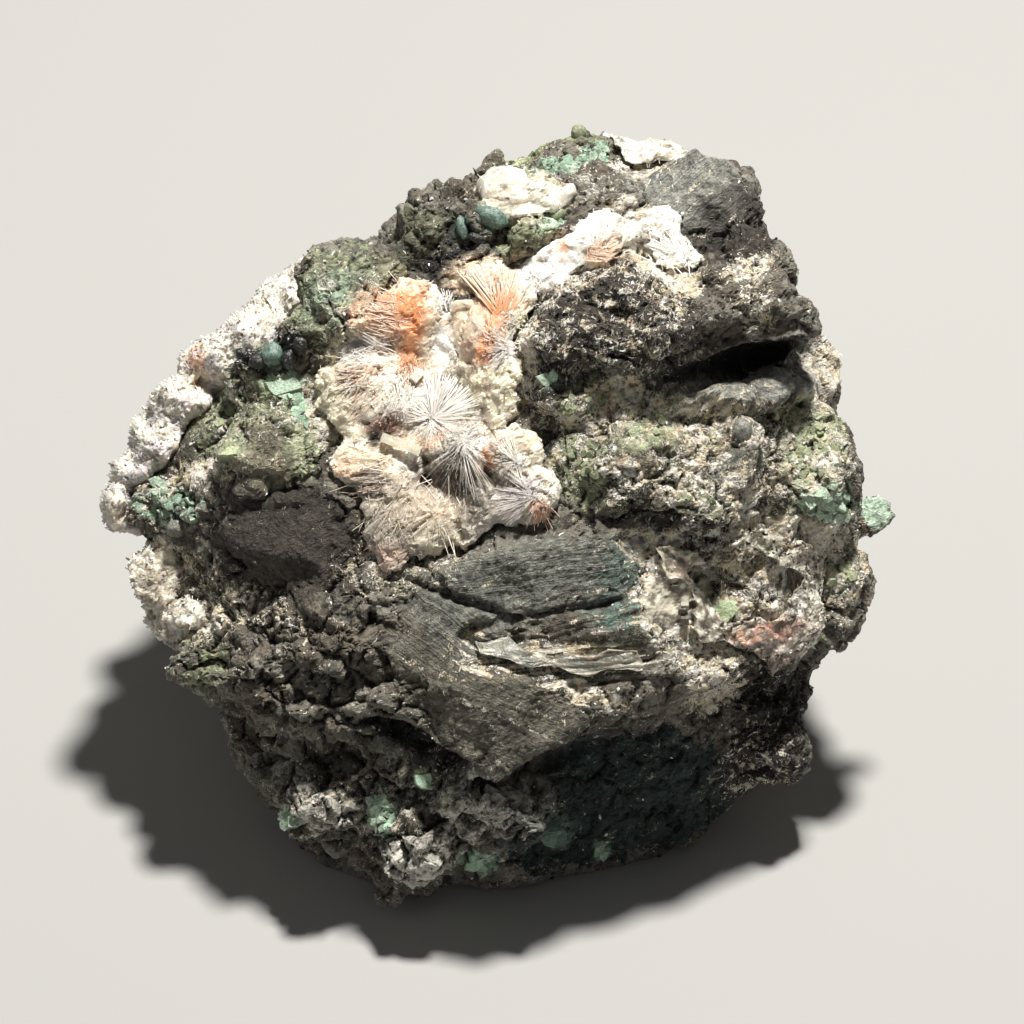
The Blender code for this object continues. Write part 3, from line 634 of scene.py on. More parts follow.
def kept_faces(whole, name, wanted):
    """A copy of a piece with only the wanted faces, so that each piece stays small."""
    part = place(name, whole.data.copy())
    bm = bmesh.new()
    bm.from_mesh(part.data)
    bm.faces.ensure_lookup_table()
    bmesh.ops.delete(bm, geom=[face for face, keep in zip(bm.faces, wanted) if not keep], context="FACES")
    bm.to_mesh(part.data)
    bm.free()
    return part


def rock_parts(rock):
    """The rock in three meshes that meet without a gap: its back, and the left and right of its show face."""
    mesh = rock.data
    flat = np.empty(len(mesh.polygons) * 3)
    mesh.polygons.foreach_get("center", flat)
    middles = flat.reshape(-1, 3)
    areas = np.empty(len(mesh.polygons))
    mesh.polygons.foreach_get("area", areas)
    fine = areas < 0.5 * (ROCK_VOXEL * MM) ** 2
    left = middles[:, 0] < 0
    split = {"basalt_back": ~fine, "basalt_face_left": fine & left, "basalt_face_right": fine & ~left}
    parts = []
    for name, wanted in split.items():
        part = kept_faces(rock, name, wanted)
        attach(part, "root")
        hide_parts("basalt_matrix")
        parts.append(part)
    bpy.data.objects.remove(rock)
    return parts


# Node helpers

class Nodes:
    """Short calls that add nodes to a material and link them."""

    def __init__(self, name):
        self.material = bpy.data.materials.new(name)
        self.material.use_nodes = True
        self.tree = self.material.node_tree
        self.shader = self.tree.nodes["Principled BSDF"]
        coord = self.tree.nodes.new("ShaderNodeTexCoord")
        scale = self.tree.nodes.new("ShaderNodeVectorMath")
        scale.operation = "SCALE"
        scale.inputs["Scale"].default_value = 1 / MM
        self.tree.links.new(coord.outputs["Object"], scale.inputs[0])
        self.mm = scale.outputs[0]

    def put(self, value, socket):
        if isinstance(value, bpy.types.NodeSocket):
            self.tree.links.new(value, socket)
        else:
            socket.default_value = value

    def attribute(self, name, output="Fac"):
        node = self.tree.nodes.new("ShaderNodeAttribute")
        node.attribute_name = name
        return node.outputs[output]

    def noise(self, size, detail=3.0, rough=0.6, distortion=0.0, vector=None):
        """Noise of that size in mm, about 0.3 to 0.7."""
        node = self.tree.nodes.new("ShaderNodeTexNoise")
        self.put(vector or self.mm, node.inputs["Vector"])
        node.inputs["Scale"].default_value = 1.0 / size
        node.inputs["Detail"].default_value = detail
        node.inputs["Roughness"].default_value = rough
        node.inputs["Distortion"].default_value = distortion
        return node.outputs["Fac"]

    def lines(self, across, size, detail=2.0):
        """Noise along one coordinate only: stripes."""
        node = self.tree.nodes.new("ShaderNodeTexNoise")
        node.noise_dimensions = "1D"
        self.put(across, node.inputs["W"])
        node.inputs["Scale"].default_value = 1.0 / size
        node.inputs["Detail"].default_value = detail
        return node.outputs["Fac"]

    def math(self, operation, a, b=0.0):
        node = self.tree.nodes.new("ShaderNodeMath")
        node.operation = operation
        self.put(a, node.inputs[0])
        self.put(b, node.inputs[1])
        return node.outputs[0]

    def total(self, *terms):
        """The sum of (value, factor, middle) terms: factor times how far each value is from its middle."""
        result = None
        for value, factor, middle in terms:
            part = self.math("MULTIPLY", self.math("SUBTRACT", value, middle), factor)
            result = part if result is None else self.math("ADD", result, part)
        return result

    def ramp(self, value, low, high, to_low=0.0, to_high=1.0):
        """Maps low..high to to_low..to_high, eased and clamped."""
        node = self.tree.nodes.new("ShaderNodeMapRange")
        node.interpolation_type = "SMOOTHSTEP"
        for socket, number in zip(("Value", "From Min", "From Max", "To Min", "To Max"),
                                  (value, low, high, to_low, to_high)):
            self.put(number, node.inputs[socket])
        return node.outputs["Result"]

    def mix(self, factor, a, b):
        node = self.tree.nodes.new("ShaderNodeMix")
        node.data_type = "RGBA"
        self.put(factor, node.inputs["Factor"])
        for value, socket in ((a, node.inputs["A"]), (b, node.inputs["B"])):
            self.put((*value, 1.0) if isinstance(value, tuple) else value, socket)
        return node.outputs["Result"]

    def scaled(self, colour, factor):
        """A colour times a number."""
        node = self.tree.nodes.new("ShaderNodeVectorMath")
        node.operation = "SCALE"
        self.put(colour, node.inputs[0])
        self.put(factor, node.inputs["Scale"])
        return node.outputs[0]

    def bump(self, height, distance, strength=1.0):
        """Bumps the shader by a height of 0 to 1 that is distance mm deep."""
        node = self.tree.nodes.new("ShaderNodeBump")
        self.put(height, node.inputs["Height"])
        node.inputs["Distance"].default_value = distance * MM
        node.inputs["Strength"].default_value = strength
        self.tree.links.new(node.outputs["Normal"], self.shader.inputs["Normal"])


def basalt_material():
    n = Nodes("basalt")
    broad = n.noise(7.0, 3.0)
    fine = n.noise(0.9, 4.0, 0.7)
    speck = n.noise(0.38, 3.0, 0.75)
    pit, plane = n.attribute("pit"), n.attribute("plane")
    clod, crumb = n.attribute("clod"), n.attribute("crumb")

    # Bare rock: brown to grey, each clod its own shade
    bare = n.mix(n.ramp(broad, 0.35, 0.65), (0.125, 0.104, 0.080), (0.235, 0.222, 0.185))
    mottle = n.total((clod, 0.55, 0.5), (crumb, 0.35, 0.5), (fine, 1.9, 0.5), (speck, 1.5, 0.5))
    shade = n.math("MAXIMUM", n.math("ADD", 1.0, mottle), 0.3)
    bare = n.scaled(bare, shade)
    stripe = n.lines(n.math("ADD", n.attribute("stripe"), n.math("MULTIPLY", n.noise(2.5), 0.9)), 0.30, 4.0)

    # Skins, broken up clod by clod, in two shades of their tint
    hue = n.ramp(n.noise(1.8, 3.0), 0.38, 0.62)
    own = n.attribute("tint", "Color")
    tint = n.mix(hue, n.scaled(own, 0.72), n.scaled(own, 1.25))
    tint = n.scaled(tint, n.ramp(shade, 0.3, 1.7, 0.55, 1.35))
    ragged = n.total((clod, 0.5, 0.5), (crumb, 0.3, 0.5), (fine, 2.0, 0.5))
    skin = n.ramp(n.math("ADD", n.attribute("cover"), ragged), 0.42, 0.60)
    colour = n.mix(skin, bare, tint)
    lined = n.attribute("lined")
    colour = n.mix(lined, colour, n.scaled(colour, n.ramp(stripe, 0.3, 0.7, 0.80, 1.18)))

    # White crust in patches, in thin curled threads and, on the planes, along the striations
    curl = n.math("ABSOLUTE", n.math("SUBTRACT", n.noise(1.3, 3.0, 0.55, 0.4), 0.5))
    thread = n.ramp(curl, 0.006, 0.022, 1.0, 0.0)
    other = n.math("FRACT", n.math("MULTIPLY", n.math("ADD", clod, crumb), 3.7))
    rocky = n.math("SUBTRACT", 1.0, plane)
    flecks = n.total((other, 0.45, 0.5), (n.noise(2.4, 4.0, 0.65, 0.8), 2.4, 0.5), (speck, 1.2, 0.5),
                     (n.math("MULTIPLY", thread, rocky), 0.16, 0.0), (plane, -0.12, 0.0))
    banded = n.math("MULTIPLY", lined, n.ramp(n.attribute("bloom"), 0.3, 0.6, -0.5, 1.0))
    layers = n.math("SUBTRACT", n.lines(n.attribute("stripe"), 1.3, 3.0), 0.53)
    layered = n.math("MULTIPLY", layers, n.math("MULTIPLY", banded, 3.2))
    white = n.ramp(n.math("ADD", n.math("ADD", n.attribute("bloom"), flecks), layered), 0.48, 0.66)
    cream = n.mix(n.ramp(n.noise(3.0), 0.4, 0.6), (0.92, 0.87, 0.78), (0.80, 0.70, 0.50))
    cream = n.mix(n.ramp(n.noise(4.1, 2.0), 0.60, 0.68, 0.0, 0.7), cream, (0.60, 0.42, 0.27))
    cream = n.scaled(cream, n.ramp(fine, 0.3, 0.6, 0.6, 1.05))
    colour = n.mix(white, colour, cream)
    # Painted shade: darker in pits and crevices
    colour = n.scaled(colour, n.ramp(pit, -0.1, 0.9, 1.0, 0.22))
    n.put(colour, n.shader.inputs["Base Color"])

    n.put(n.ramp(n.noise(1.1, 2.0), 0.48, 0.62, 0.80, 0.35), n.shader.inputs["Roughness"])
    n.shader.inputs["Specular IOR Level"].default_value = 0.5
    ribs = n.math("MULTIPLY", stripe, lined)
    relief = n.total((fine, 0.9, 0.0), (speck, 0.7, 0.0), (ribs, 0.5, 0.0), (white, 0.25, 0.0))
    n.bump(relief, 0.6, 1.0)
    return n.material


# Crusts and sprays of thomsonite

# Colour on the crusts: pixel, half sizes in pixels, turn, tint, how much
CRUST_TINTS = {
    "warm": ((430, 400), (120, 130), 0, "peach", 0.30),
    "edge_orange": ((394, 310), (20, 18), 0, "orange", 0.85),
    "edge_peach": ((372, 330), (20, 16), 30, "salmon", 0.8),
    "edge_cream": ((346, 356), (18, 14), 30, "cream", 0.8),
    "rim_left": ((325, 398), (30, 40), 0, "cream", 0.8),
    "rim_low_left": ((340, 440), (30, 30), 0, "cream", 0.5),
    "rim_right": ((514, 350), (12, 60), -10, "cream", 0.9),
    "rim_low_right": ((500, 385), (20, 24), 0, "cream", 0.8),
    "white_left": ((364, 356), (22, 14), 20, "white", 1.0),
    "grey_left": ((386, 350), (10, 9), 0, "lavender", 0.9),
    "orange_block": ((413, 318), (19, 30), -8, "orange", 1.0),
    "orange_left": ((388, 328), (15, 11), 10, "salmon", 0.9),
    "orange_foot": ((412, 360), (12, 18), 0, "orange", 0.9),
    "orange_edge": ((430, 350), (7, 24), 0, "peach", 0.8),
    "beige_block": ((466, 322), (20, 26), -20, "beige", 0.95),
    "beige_low": ((472, 356), (12, 18), 0, "beige", 0.9),
    "beige_brown": ((474, 352), (8, 12), 0, "pink", 0.45),
    "white_fan": ((446, 306), (9, 12), 0, "white", 1.0),
    "white_block": ((443, 350), (13, 18), 0, "white", 0.9),
    "blade_left": ((470, 290), (30, 8), 140, "peach", 0.9),
    "blade_left_brown": ((478, 302), (24, 3), 135, "pink", 0.6),
    "orange_blades": ((500, 294), (18, 26), -35, "salmon", 1.0),
    "orange_blades_deep": ((500, 308), (8, 22), -30, "orange", 0.8),
    "tip_cream": ((505, 264), (18, 9), 0, "cream", 0.9),
    "orange_strip": ((493, 338), (9, 22), -22, "orange", 0.95),
    "orange_strip_low": ((485, 360), (7, 12), 0, "orange", 0.8),
    "strip_white": ((506, 348), (11, 18), -10, "white", 0.95),
    "strip_pink": ((503, 358), (7, 8), 0, "lavender", 0.5),
    "orange_low_right": ((478, 386), (16, 8), -30, "peach", 0.9),
    "neck_white": ((552, 272), (34, 24), 35, "white", 1.0),
    "neck_grey": ((548, 285), (10, 12), 30, "lavender", 0.35),
    "neck_orange": ((600, 257), (15, 14), 0, "salmon", 1.0),
    "boss_rim": ((563, 247), (5, 14), 0, "salmon", 0.9),
    "neck_high": ((582, 230), (20, 22), 0, "white", 1.0),
    "peach": ((366, 380), (18, 12), 0, "orange", 0.75),
    "peach_wide": ((360, 376), (26, 16), 0, "peach", 0.5),
    "glint_side": ((426, 392), (6, 12), 0, "salmon", 0.6),
    "curtain": ((398, 398), (34, 22), -20, "white", 0.6),
    "curtain_cream": ((376, 400), (22, 16), -20, "cream", 0.6),
    "cream_low": ((345, 402), (20, 14), 0, "cream", 0.7),
    "grey_low": ((360, 420), (20, 13), 20, "taupe", 0.55),
    "main_white": ((440, 408), (30, 22), 20, "white", 1.0),
    "main_right": ((470, 396), (16, 20), -30, "cream", 0.8),
    "tan_petals": ((436, 441), (24, 10), 0, "salmon", 0.7),
    "main_gap": ((436, 410), (5, 4), 0, "taupe", 0.7),
    "brown_hollow": ((388, 426), (22, 11), 10, "umber", 1.0),
    "black_hollow": ((378, 442), (6, 10), 0, "night", 1.0),
    "dark_hollow": ((455, 488), (34, 30), 0, "night", 1.0),
    "dark_hollow_left": ((424, 480), (14, 12), 0, "umber", 0.7),
    "white_cap": ((465, 444), (18, 11), 0, "white", 1.0),
    "white_cap_right": ((480, 446), (12, 6), 20, "white", 0.9),
    "red_saddle": ((486, 462), (7, 11), -20, "orange", 0.95),
    "brown_saddle": ((501, 447), (12, 5), 20, "pink", 0.6),
    "right_white": ((510, 466), (13, 13), 0, "white", 0.9),
    "right_dome": ((524, 442), (13, 10), 0, "beige", 0.95),
    "dome_rim": ((534, 452), (6, 16), 0, "cream", 0.7),
    "shell": ((363, 462), (26, 13), 10, "peach", 0.95),
    "shell_edge": ((352, 470), (12, 8), 0, "salmon", 0.6),
    "shell_under": ((372, 489), (24, 9), 5, "umber", 1.0),
    "shell_root": ((394, 472), (14, 16), 0, "beige", 0.8),
    "glassy_middle": ((410, 462), (16, 12), 0, "white", 0.6),
    "pink_grey": ((520, 492), (20, 14), 10, "lavender", 0.95),
    "pink_end": ((539, 511), (10, 9), 0, "salmon", 0.95),
    "taupe_mass": ((400, 530), (74, 46), 0, "taupe", 0.8),
    "taupe_light": ((425, 512), (34, 20), 0, "beige", 0.8),
    "taupe_low": ((385, 556), (30, 16), 0, "pink", 0.35),
    "taupe_white": ((440, 540), (20, 16), 0, "cream", 0.6),
    "taupe_right": ((498, 536), (26, 18), 0, "lavender", 0.6),
    "pillow": ((500, 205), (26, 12), 0, "peach", 0.3),
    "shoulder_lavender": ((208, 325), (18, 14), 30, "lavender", 1.0),
    "shoulder_orange": ((194, 352), (12, 22), 35, "salmon", 1.0),
    "shoulder_tan": ((195, 382), (12, 10), 0, "beige", 0.9),
    "shoulder_cream": ((262, 310), (20, 8), 35, "cream", 0.6),
    "side_cream": ((690, 580), (60, 50), 0, "cream", 0.5),
    "side_tan": ((650, 560), (30, 16), 0, "beige", 0.5),
    "side_brown": ((690, 565), (22, 9), 20, "pink", 0.5),
    "side_green": ((765, 545), (18, 10), 0, "lime", 0.5),
    "side_pink": ((737, 634), (14, 12), 10, "salmon", 0.9),
    "side_pink_wide": ((770, 628), (34, 16), 10, "pink", 0.9),
    "side_dark": ((760, 660), (40, 12), 0, "umber", 0.8),
    "streak_dark": ((668, 235), (30, 36), 38, "white", 0.7),
    "side_grey": ((800, 560), (24, 30), 0, "taupe", 0.4),
    "side_yellow": ((712, 690), (24, 20), 30, "cream", 0.9),
    "tip_tan": ((118, 512), (10, 10), 0, "peach", 0.6),
    "vein_left": ((470, 655), (16, 20), 0, "moss", 0.5),
    "vein_wide": ((610, 662), (46, 22), 0, "khaki", 0.8),
    "vein_grey": ((560, 662), (60, 10), 0, "taupe", 0.5),
    "left_grey": ((160, 590), (16, 30), 10, "beige", 0.5),
    "left_cream": ((175, 560), (20, 14), 0, "cream", 0.5),
}

# Sprays: centre pixel, how far round it the needles begin in mm, from and to angle in the face, length in mm,
# how high the tips stand over the ground in mm, from and to, width in mm, how many, tints of root and tip
SPRAYS = {
    "main_up": ((434, 421), 0.15, 5, 100, 7.0, 0.1, 1.0, 0.15, 460, "white", "white"),
    "main_right": ((436, 422), 0.2, -40, 20, 6.0, 0.05, 0.8, 0.13, 200, "white", "cream"),
    "main_down": ((434, 423), 0.2, 225, 325, 5.0, 0.0, 0.5, 0.13, 110, "white", "cream"),
    "main_left": ((430, 420), 0.4, 115, 200, 3.4, 0.05, 0.7, 0.13, 150, "white", "cream"),
    "hanging": ((404, 384), 1.2, 225, 290, 5.6, 0.0, 0.25, 0.16, 170, "cream", "white"),
    "hanging_left": ((378, 388), 1.6, 200, 250, 4.2, 0.0, 0.2, 0.16, 90, "salmon", "peach"),
    "peach_fan": ((368, 378), 1.4, 165, 250, 4.0, 0.0, 0.6, 0.13, 120, "peach", "white"),
    "left_white": ((374, 354), 1.2, 150, 215, 4.0, 0.1, 0.7, 0.14, 140, "white", "white"),
    "orange_low": ((411, 366), 0.9, 240, 300, 3.4, 0.0, 0.6, 0.13, 60, "salmon", "peach"),
    "white_fan": ((446, 313), 0.4, 60, 125, 2.8, 0.1, 0.7, 0.15, 60, "white", "white"),
    "blades_left": ((502, 324), 0.45, 124, 134, 9.4, 0.0, 0.25, 0.30, 30, "orange", "peach"),
    "blades_left_white": ((500, 318), 0.5, 118, 126, 6.4, 0.0, 0.2, 0.24, 14, "salmon", "cream"),
    "blades_middle": ((502, 322), 0.9, 84, 106, 5.6, 0.0, 0.2, 0.26, 46, "orange", "salmon"),
    "blades_right": ((503, 322), 0.8, 56, 86, 7.0, 0.0, 0.25, 0.30, 66, "orange", "salmon"),
    "strip_fan": ((512, 350), 0.5, 140, 240, 4.2, 0.1, 0.7, 0.13, 140, "white", "white"),
    "strip_up": ((494, 350), 0.9, 60, 120, 4.2, 0.0, 0.5, 0.14, 60, "orange", "salmon"),
    "neck_low": ((538, 288), 1.6, 20, 150, 2.0, 0.0, 0.3, 0.24, 70, "white", "white"),
    "neck_orange": ((592, 260), 0.9, -20, 90, 3.8, 0.0, 0.7, 0.14, 110, "peach", "salmon"),
    "dark_down": ((463, 446), 0.25, 212, 330, 8.2, 0.1, 0.7, 0.085, 90, "white", "taupe"),
    "dark_under": ((463, 448), 0.4, 218, 328, 7.4, 0.0, 0.3, 0.12, 60, "umber", "night"),
    "dark_cap": ((464, 444), 0.35, 185, 355, 2.2, 0.1, 0.9, 0.13, 240, "white", "white"),
    "dark_cap_up": ((464, 442), 0.8, 20, 170, 2.4, 0.1, 0.9, 0.13, 160, "white", "white"),
    "right_left": ((516, 463), 0.25, 100, 210, 4.2, 0.05, 0.7, 0.12, 200, "white", "cream"),
    "right_low": ((514, 465), 0.5, 190, 290, 3.4, 0.0, 0.7, 0.12, 110, "white", "peach"),
    "pink_left": ((536, 496), 0.3, 140, 230, 6.2, 0.05, 0.6, 0.10, 240, "white", "lavender"),
    "pink_low": ((538, 503), 0.6, 235, 320, 3.0, 0.0, 0.6, 0.12, 90, "salmon", "pink"),
    "shell_fan": ((392, 462), 1.2, 160, 215, 6.0, 0.0, 0.4, 0.14, 90, "peach", "cream"),
    "shell_under": ((392, 482), 1.2, 170, 205, 5.6, 0.0, 0.5, 0.14, 90, "umber", "beige"),
    "taupe_a": ((392, 510), 1.8, 215, 300, 5.0, 0.0, 0.5, 0.14, 60, "taupe", "beige"),
    "taupe_b": ((440, 510), 2.2, 200, 300, 5.0, 0.0, 0.5, 0.14, 60, "beige", "cream"),
    "taupe_f": ((415, 496), 2.0, 200, 320, 4.6, 0.0, 0.5, 0.14, 60, "beige", "cream"),
    "rim_right": ((516, 330), 1.6, 60, 250, 2.0, 0.0, 0.4, 0.14, 60, "cream", "cream"),
    "crown_a": ((650, 176), 2.2, 60, 120, 1.2, 0.0, 0.1, 0.2, 40, "white", "white"),
    "edge_orange": ((400, 322), 2.0, 110, 210, 3.6, 0.0, 0.2, 0.16, 120, "salmon", "peach"),
    "edge_low": ((386, 352), 1.6, 140, 215, 4.2, 0.0, 0.2, 0.16, 110, "peach", "white"),
    "band_fan": ((672, 262), 2.0, 80, 160, 3.6, 0.0, 0.15, 0.18, 90, "white", "white"),
}

# Smooth glassy stretches of crust, with no blades on them: pixel, half sizes in pixels, turn
GLASSY = {
    "beige_block": ((465, 330), (24, 34), -20),
    "left_low": ((362, 424), (26, 16), 20),
    "grey_left": ((386, 352), (12, 11), 0),
    "orange": ((412, 322), (22, 34), 0),
    "white_block": ((443, 350), (14, 18), 0),
    "neck": ((560, 268), (50, 30), 35),
    "right_dome": ((524, 442), (15, 11), 0),
    "taupe_light": ((425, 515), (40, 26), 0),
    "purple_mass": ((498, 536), (24, 16), 0),
    "pillow": ((525, 200), (60, 26), -8),
    "side_pink": ((768, 632), (40, 18), 5),
    "side_left": ((670, 600), (50, 60), 0),
    "vein": ((560, 655), (120, 36), 0),
    "crown": ((648, 160), (44, 26), 0),
}

# How far a crust's surface is let down towards the rock, in mm, or raised below 0
SUNK = {
    "thomsonite_vein": 1.1,
    "thomsonite_side_crust": 1.0,
    "thomsonite_crown_crust": 0.3,
    "thomsonite_pillow_crust": -0.3,
    "thomsonite_shoulder_crust": -0.3,
    "thomsonite_left_crust": -0.2,
}

# Rock that shows through a crust: its tint, the share of the crust, the size of the patches in mm
SHOWING = {
    "thomsonite_side_crust": ("brown", 0.48, 1.4),
    "thomsonite_vein": ("slate", 0.55, 1.2),
    "thomsonite_shoulder_crust": ("lavender", 0.35, 2.2),
    "thomsonite_left_crust": ("taupe", 0.38, 1.8),
    "thomsonite_crown_crust": ("pale_slate", 0.2, 1.0),
}

# How rough a crust is, 1 for the hollow's
ROUGH = {
    "thomsonite_pillow_crust": 0.7,
    "thomsonite_shoulder_crust": 1.2,
    "thomsonite_left_crust": 1.2,
}

# The blades that stand on a crust: mean length, mean width and the space each has, in mm, and the way they
# lean on the face. The crusts that aren't named here have the hollow's.
FUR = {
    "thomsonite_hollow_crust": (0.45, 0.26, 0.9, (0.0, 0.0)),
    "thomsonite_shoulder_crust": (0.50, 0.45, 0.80, (-0.35, 0.45)),
    "thomsonite_left_crust": (0.50, 0.42, 0.80, (-0.3, 0.3)),
}

# How many rounds a crust's CAD shape is relaxed by
CALMED = {
    "thomsonite_vein": 16,
    "thomsonite_side_crust": 16,
    "thomsonite_crown_crust": 16,
    "thomsonite_pillow_crust": 30,
    "thomsonite_shoulder_crust": 26,
    "thomsonite_left_crust": 22,
    "thomsonite_hollow_crust": 16,
}


def crust_piece(node_name):
    """A crust on a finer grid, with small crystal facets, in place of its node."""
    crust = remeshed(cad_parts[node_name], node_name.replace("thomsonite", "crystals"), CRUST_VOXEL)
    move_to(crust.data, relaxed(crust.data, coordinates(crust.data), CALMED[node_name]))
    grow_crystals(crust, node_name, ROUGH.get(node_name, 1.0), SUNK.get(node_name, 0.0))
    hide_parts(node_name)
    return crust


def grow_crystals(crust, node_name, rough, sunk):
    """Facets, colours and the rest of what the crystal material reads, on a smooth crust."""
    mesh = crust.data
    points = coordinates(mesh)
    out = soft_normals(mesh, 3)
    uvw = show_coordinates(points)
    waver = np.array([noise.noise_vector(Vector(p) / 2.5) for p in uvw])
    glass = np.zeros(len(points))
    for patch in GLASSY.values():
        glass = np.maximum(glass, patch_weight(uvw[:, :2] + 0.8 * waver[:, :2], patch))
    paint_crust(mesh, uvw, waver, SHOWING.get(node_name))
    ray, streak = ray_of(uvw)
    add_vectors(mesh, "ray", ray)
    add_floats(mesh, "streak", streak)
    height = np.empty(len(points))
    own_shade = np.empty(len(points))
    for i, p in enumerate(uvw):
        spot = Vector(p)
        inside, own, offset = cells(spot + 0.6 * Vector(waver[i]), 2.8)
        inside_fine, own_fine, offset_fine = cells(spot + Vector((5, 5, 1)), 1.2)
        coarse = 0.32 * own.x + 0.7 * offset.dot(own) + 0.4 * noise.noise(spot / 1.6)
        crystals = 0.35 * own_fine.y + 0.6 * offset_fine.dot(own_fine)
        pleats = 0.55 * noise.noise(Vector(ray[i]) * 0.5) + 0.35 * noise.noise(Vector(ray[i]) * 1.1)
        height[i] = ((1 - 0.6 * streak[i]) * coarse + (1 - 0.7 * max(glass[i], streak[i])) * crystals
                     + streak[i] * pleats)
        if node_name == "thomsonite_vein":
            along_vein = Vector((p[0] / 6.0, (p[1] - 0.1 * p[0]) / 0.8, 2.0))
            height[i] = 0.25 * coarse + 0.4 * noise.noise(along_vein)
        own_shade[i] = own_fine.z + 0.5
    height = height * rough - sunk
    move_to(mesh, points + out * (height * MM)[:, None])
    # Pit depth, for the painted shade that darkens the crust's pits
    add_floats(mesh, "pit", hollowness(mesh, 3) * 2.0 + hollowness(mesh, 12))
    add_floats(mesh, "crumb", own_shade)
    add_floats(mesh, "glass", glass)
    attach(crust, "root")


# Sheets that close the gaps along the crusts: pixel, half sizes in pixels, turn, thickness in mm, node
SHEETS = {
    "edge": ((376, 334), (46, 20), 45, 0.6, "thomsonite_hollow_crust"),
    "edge_top": ((396, 306), (20, 18), 30, 0.5, "thomsonite_hollow_crust"),
    "fan": ((494, 284), (36, 18), -10, 0.5, "thomsonite_hollow_crust"),
    "neck": ((552, 272), (50, 18), 33, 0.4, "thomsonite_hollow_crust"),
    "neck_high": ((606, 246), (40, 20), 30, 0.4, "thomsonite_hollow_crust"),
    "pillow": ((526, 204), (46, 19), 6, 0.3, "thomsonite_pillow_crust"),
    "shoulder_a": ((254, 312), (54, 17), 40, 0.4, "thomsonite_shoulder_crust"),
    "shoulder_b": ((194, 362), (36, 17), 48, 0.4, "thomsonite_shoulder_crust"),
    "shoulder_c": ((150, 424), (46, 15), 58, 0.4, "thomsonite_shoulder_crust"),
    "left": ((160, 582), (20, 40), -12, 0.3, "thomsonite_left_crust"),
    "side": ((664, 590), (26, 42), -25, 0.3, "thomsonite_side_crust"),
}
SHEET_GRID = 0.4     # in mm
SHEET_DROP = 0.9     # how far a sheet's rim goes under the ground, in mm
SHEET_STEP = 0.9     # a sheet ends where it would be steeper than this, in mm across a grid cell
SHEET_ROUNDS = 40    # of levelling
SHEET_SINK = 0.8     # how far the levelling may go below a lump's top, in mm
SHEET_ROUGH = 0.6


def sheet_piece(name, tree):
    """Crust laid over the ground: level over its gaps, and lost in it at the rim."""
    (px, py), (half_u, half_v), turn, thick, node_name = SHEETS[name]
    angle = math.radians(turn)
    wide, high = (int(1.25 * half * PIXEL / SHEET_GRID) for half in (half_u, half_v))
    along, across = np.meshgrid(np.arange(-wide, wide + 1), np.arange(-high, high + 1), indexing="ij")
    along, across = along * SHEET_GRID, across * SHEET_GRID
    middle = photo(px, py)
    u = middle[0] + along * math.cos(angle) - across * math.sin(angle)
    v = middle[1] + along * math.sin(angle) + across * math.cos(angle)
    ground = np.array([[ground_height(tree, a, b) for a, b in zip(*row)] for row in zip(u, v)], dtype=float)
    there = ~np.isnan(ground)
    ground = np.where(there, ground, np.nanmin(ground))
    top = ground.copy()
    for _ in range(SHEET_ROUNDS):
        spread = np.pad(top, 1, mode="edge")
        mean = 0.25 * (spread[:-2, 1:-1] + spread[2:, 1:-1] + spread[1:-1, :-2] + spread[1:-1, 2:])
        top = np.where(there, np.maximum(ground - SHEET_SINK, mean), ground)
    uv = np.column_stack((u.ravel(), v.ravel()))
    waver = np.array([noise.noise_vector(Vector((a, b, 4.0)) / 1.8) for a, b in uv])
    weight = patch_weight(uv + 0.8 * waver[:, :2], ((px, py), (half_u, half_v), turn), 0.25).reshape(u.shape)
    w = ground * (1 - weight) + (top + thick) * weight - SHEET_DROP * (1 - weight)
    shown = there & (weight > 0.01)
    number = np.arange(u.size).reshape(u.shape)
    corners = [number[:-1, :-1], number[1:, :-1], number[1:, 1:], number[:-1, 1:]]
    whole = shown[:-1, :-1] & shown[1:, :-1] & shown[1:, 1:] & shown[:-1, 1:]
    levels = np.stack([w.ravel()[corner] for corner in corners])
    whole &= levels.max(axis=0) - levels.min(axis=0) < SHEET_STEP
    a, b, c, d = (corner[whole] for corner in corners)
    faces = np.concatenate((np.column_stack((a, b, c)), np.column_stack((a, c, d))))
    used, renumbered = np.unique(faces, return_inverse=True)
    verts = stood(np.column_stack((u.ravel(), v.ravel(), w.ravel())))[used]
    sheet = piece_of("crystal_sheet_" + name, verts, renumbered.reshape(-1, 3))
    grow_crystals(sheet, node_name, SHEET_ROUGH, 0.0)
    return sheet


def paint_crust(mesh, uvw, waver, showing):
    """Colours by place, and patches where the rock shows through."""
    uv = uvw[:, :2] + 0.9 * waver[:, :2]
    colour = np.tile(np.array(TINTS["white"]) * 0.45 + np.array(TINTS["cream"]) * 0.45, (len(uvw), 1))
    near = smooth(*TINT_FADE, uvw[:, 2])
    for patch in CRUST_TINTS.values():
        weight = (patch_weight(uv, patch, 0.55) * patch[4] * near)[:, None]
        colour = colour * (1 - weight) + np.array(TINTS[patch[3]]) * weight
    if showing:
        tint, share, size = showing
        long = 5.0 if tint == "slate" else 1.0
        spots = [Vector((p[0] / long, p[1] - 0.1 * p[0] * (long > 1), p[2])) for p in uvw]
        patchy = np.array([noise.noise(p / size) + 0.6 * noise.noise(p / (0.4 * size)) for p in spots])
        weight = (0.85 * smooth(0.42 - share, 0.60 - share, patchy))[:, None]
        colour = colour * (1 - weight) + np.array(TINTS[tint]) * weight
    add_colours(mesh, "tint", colour)


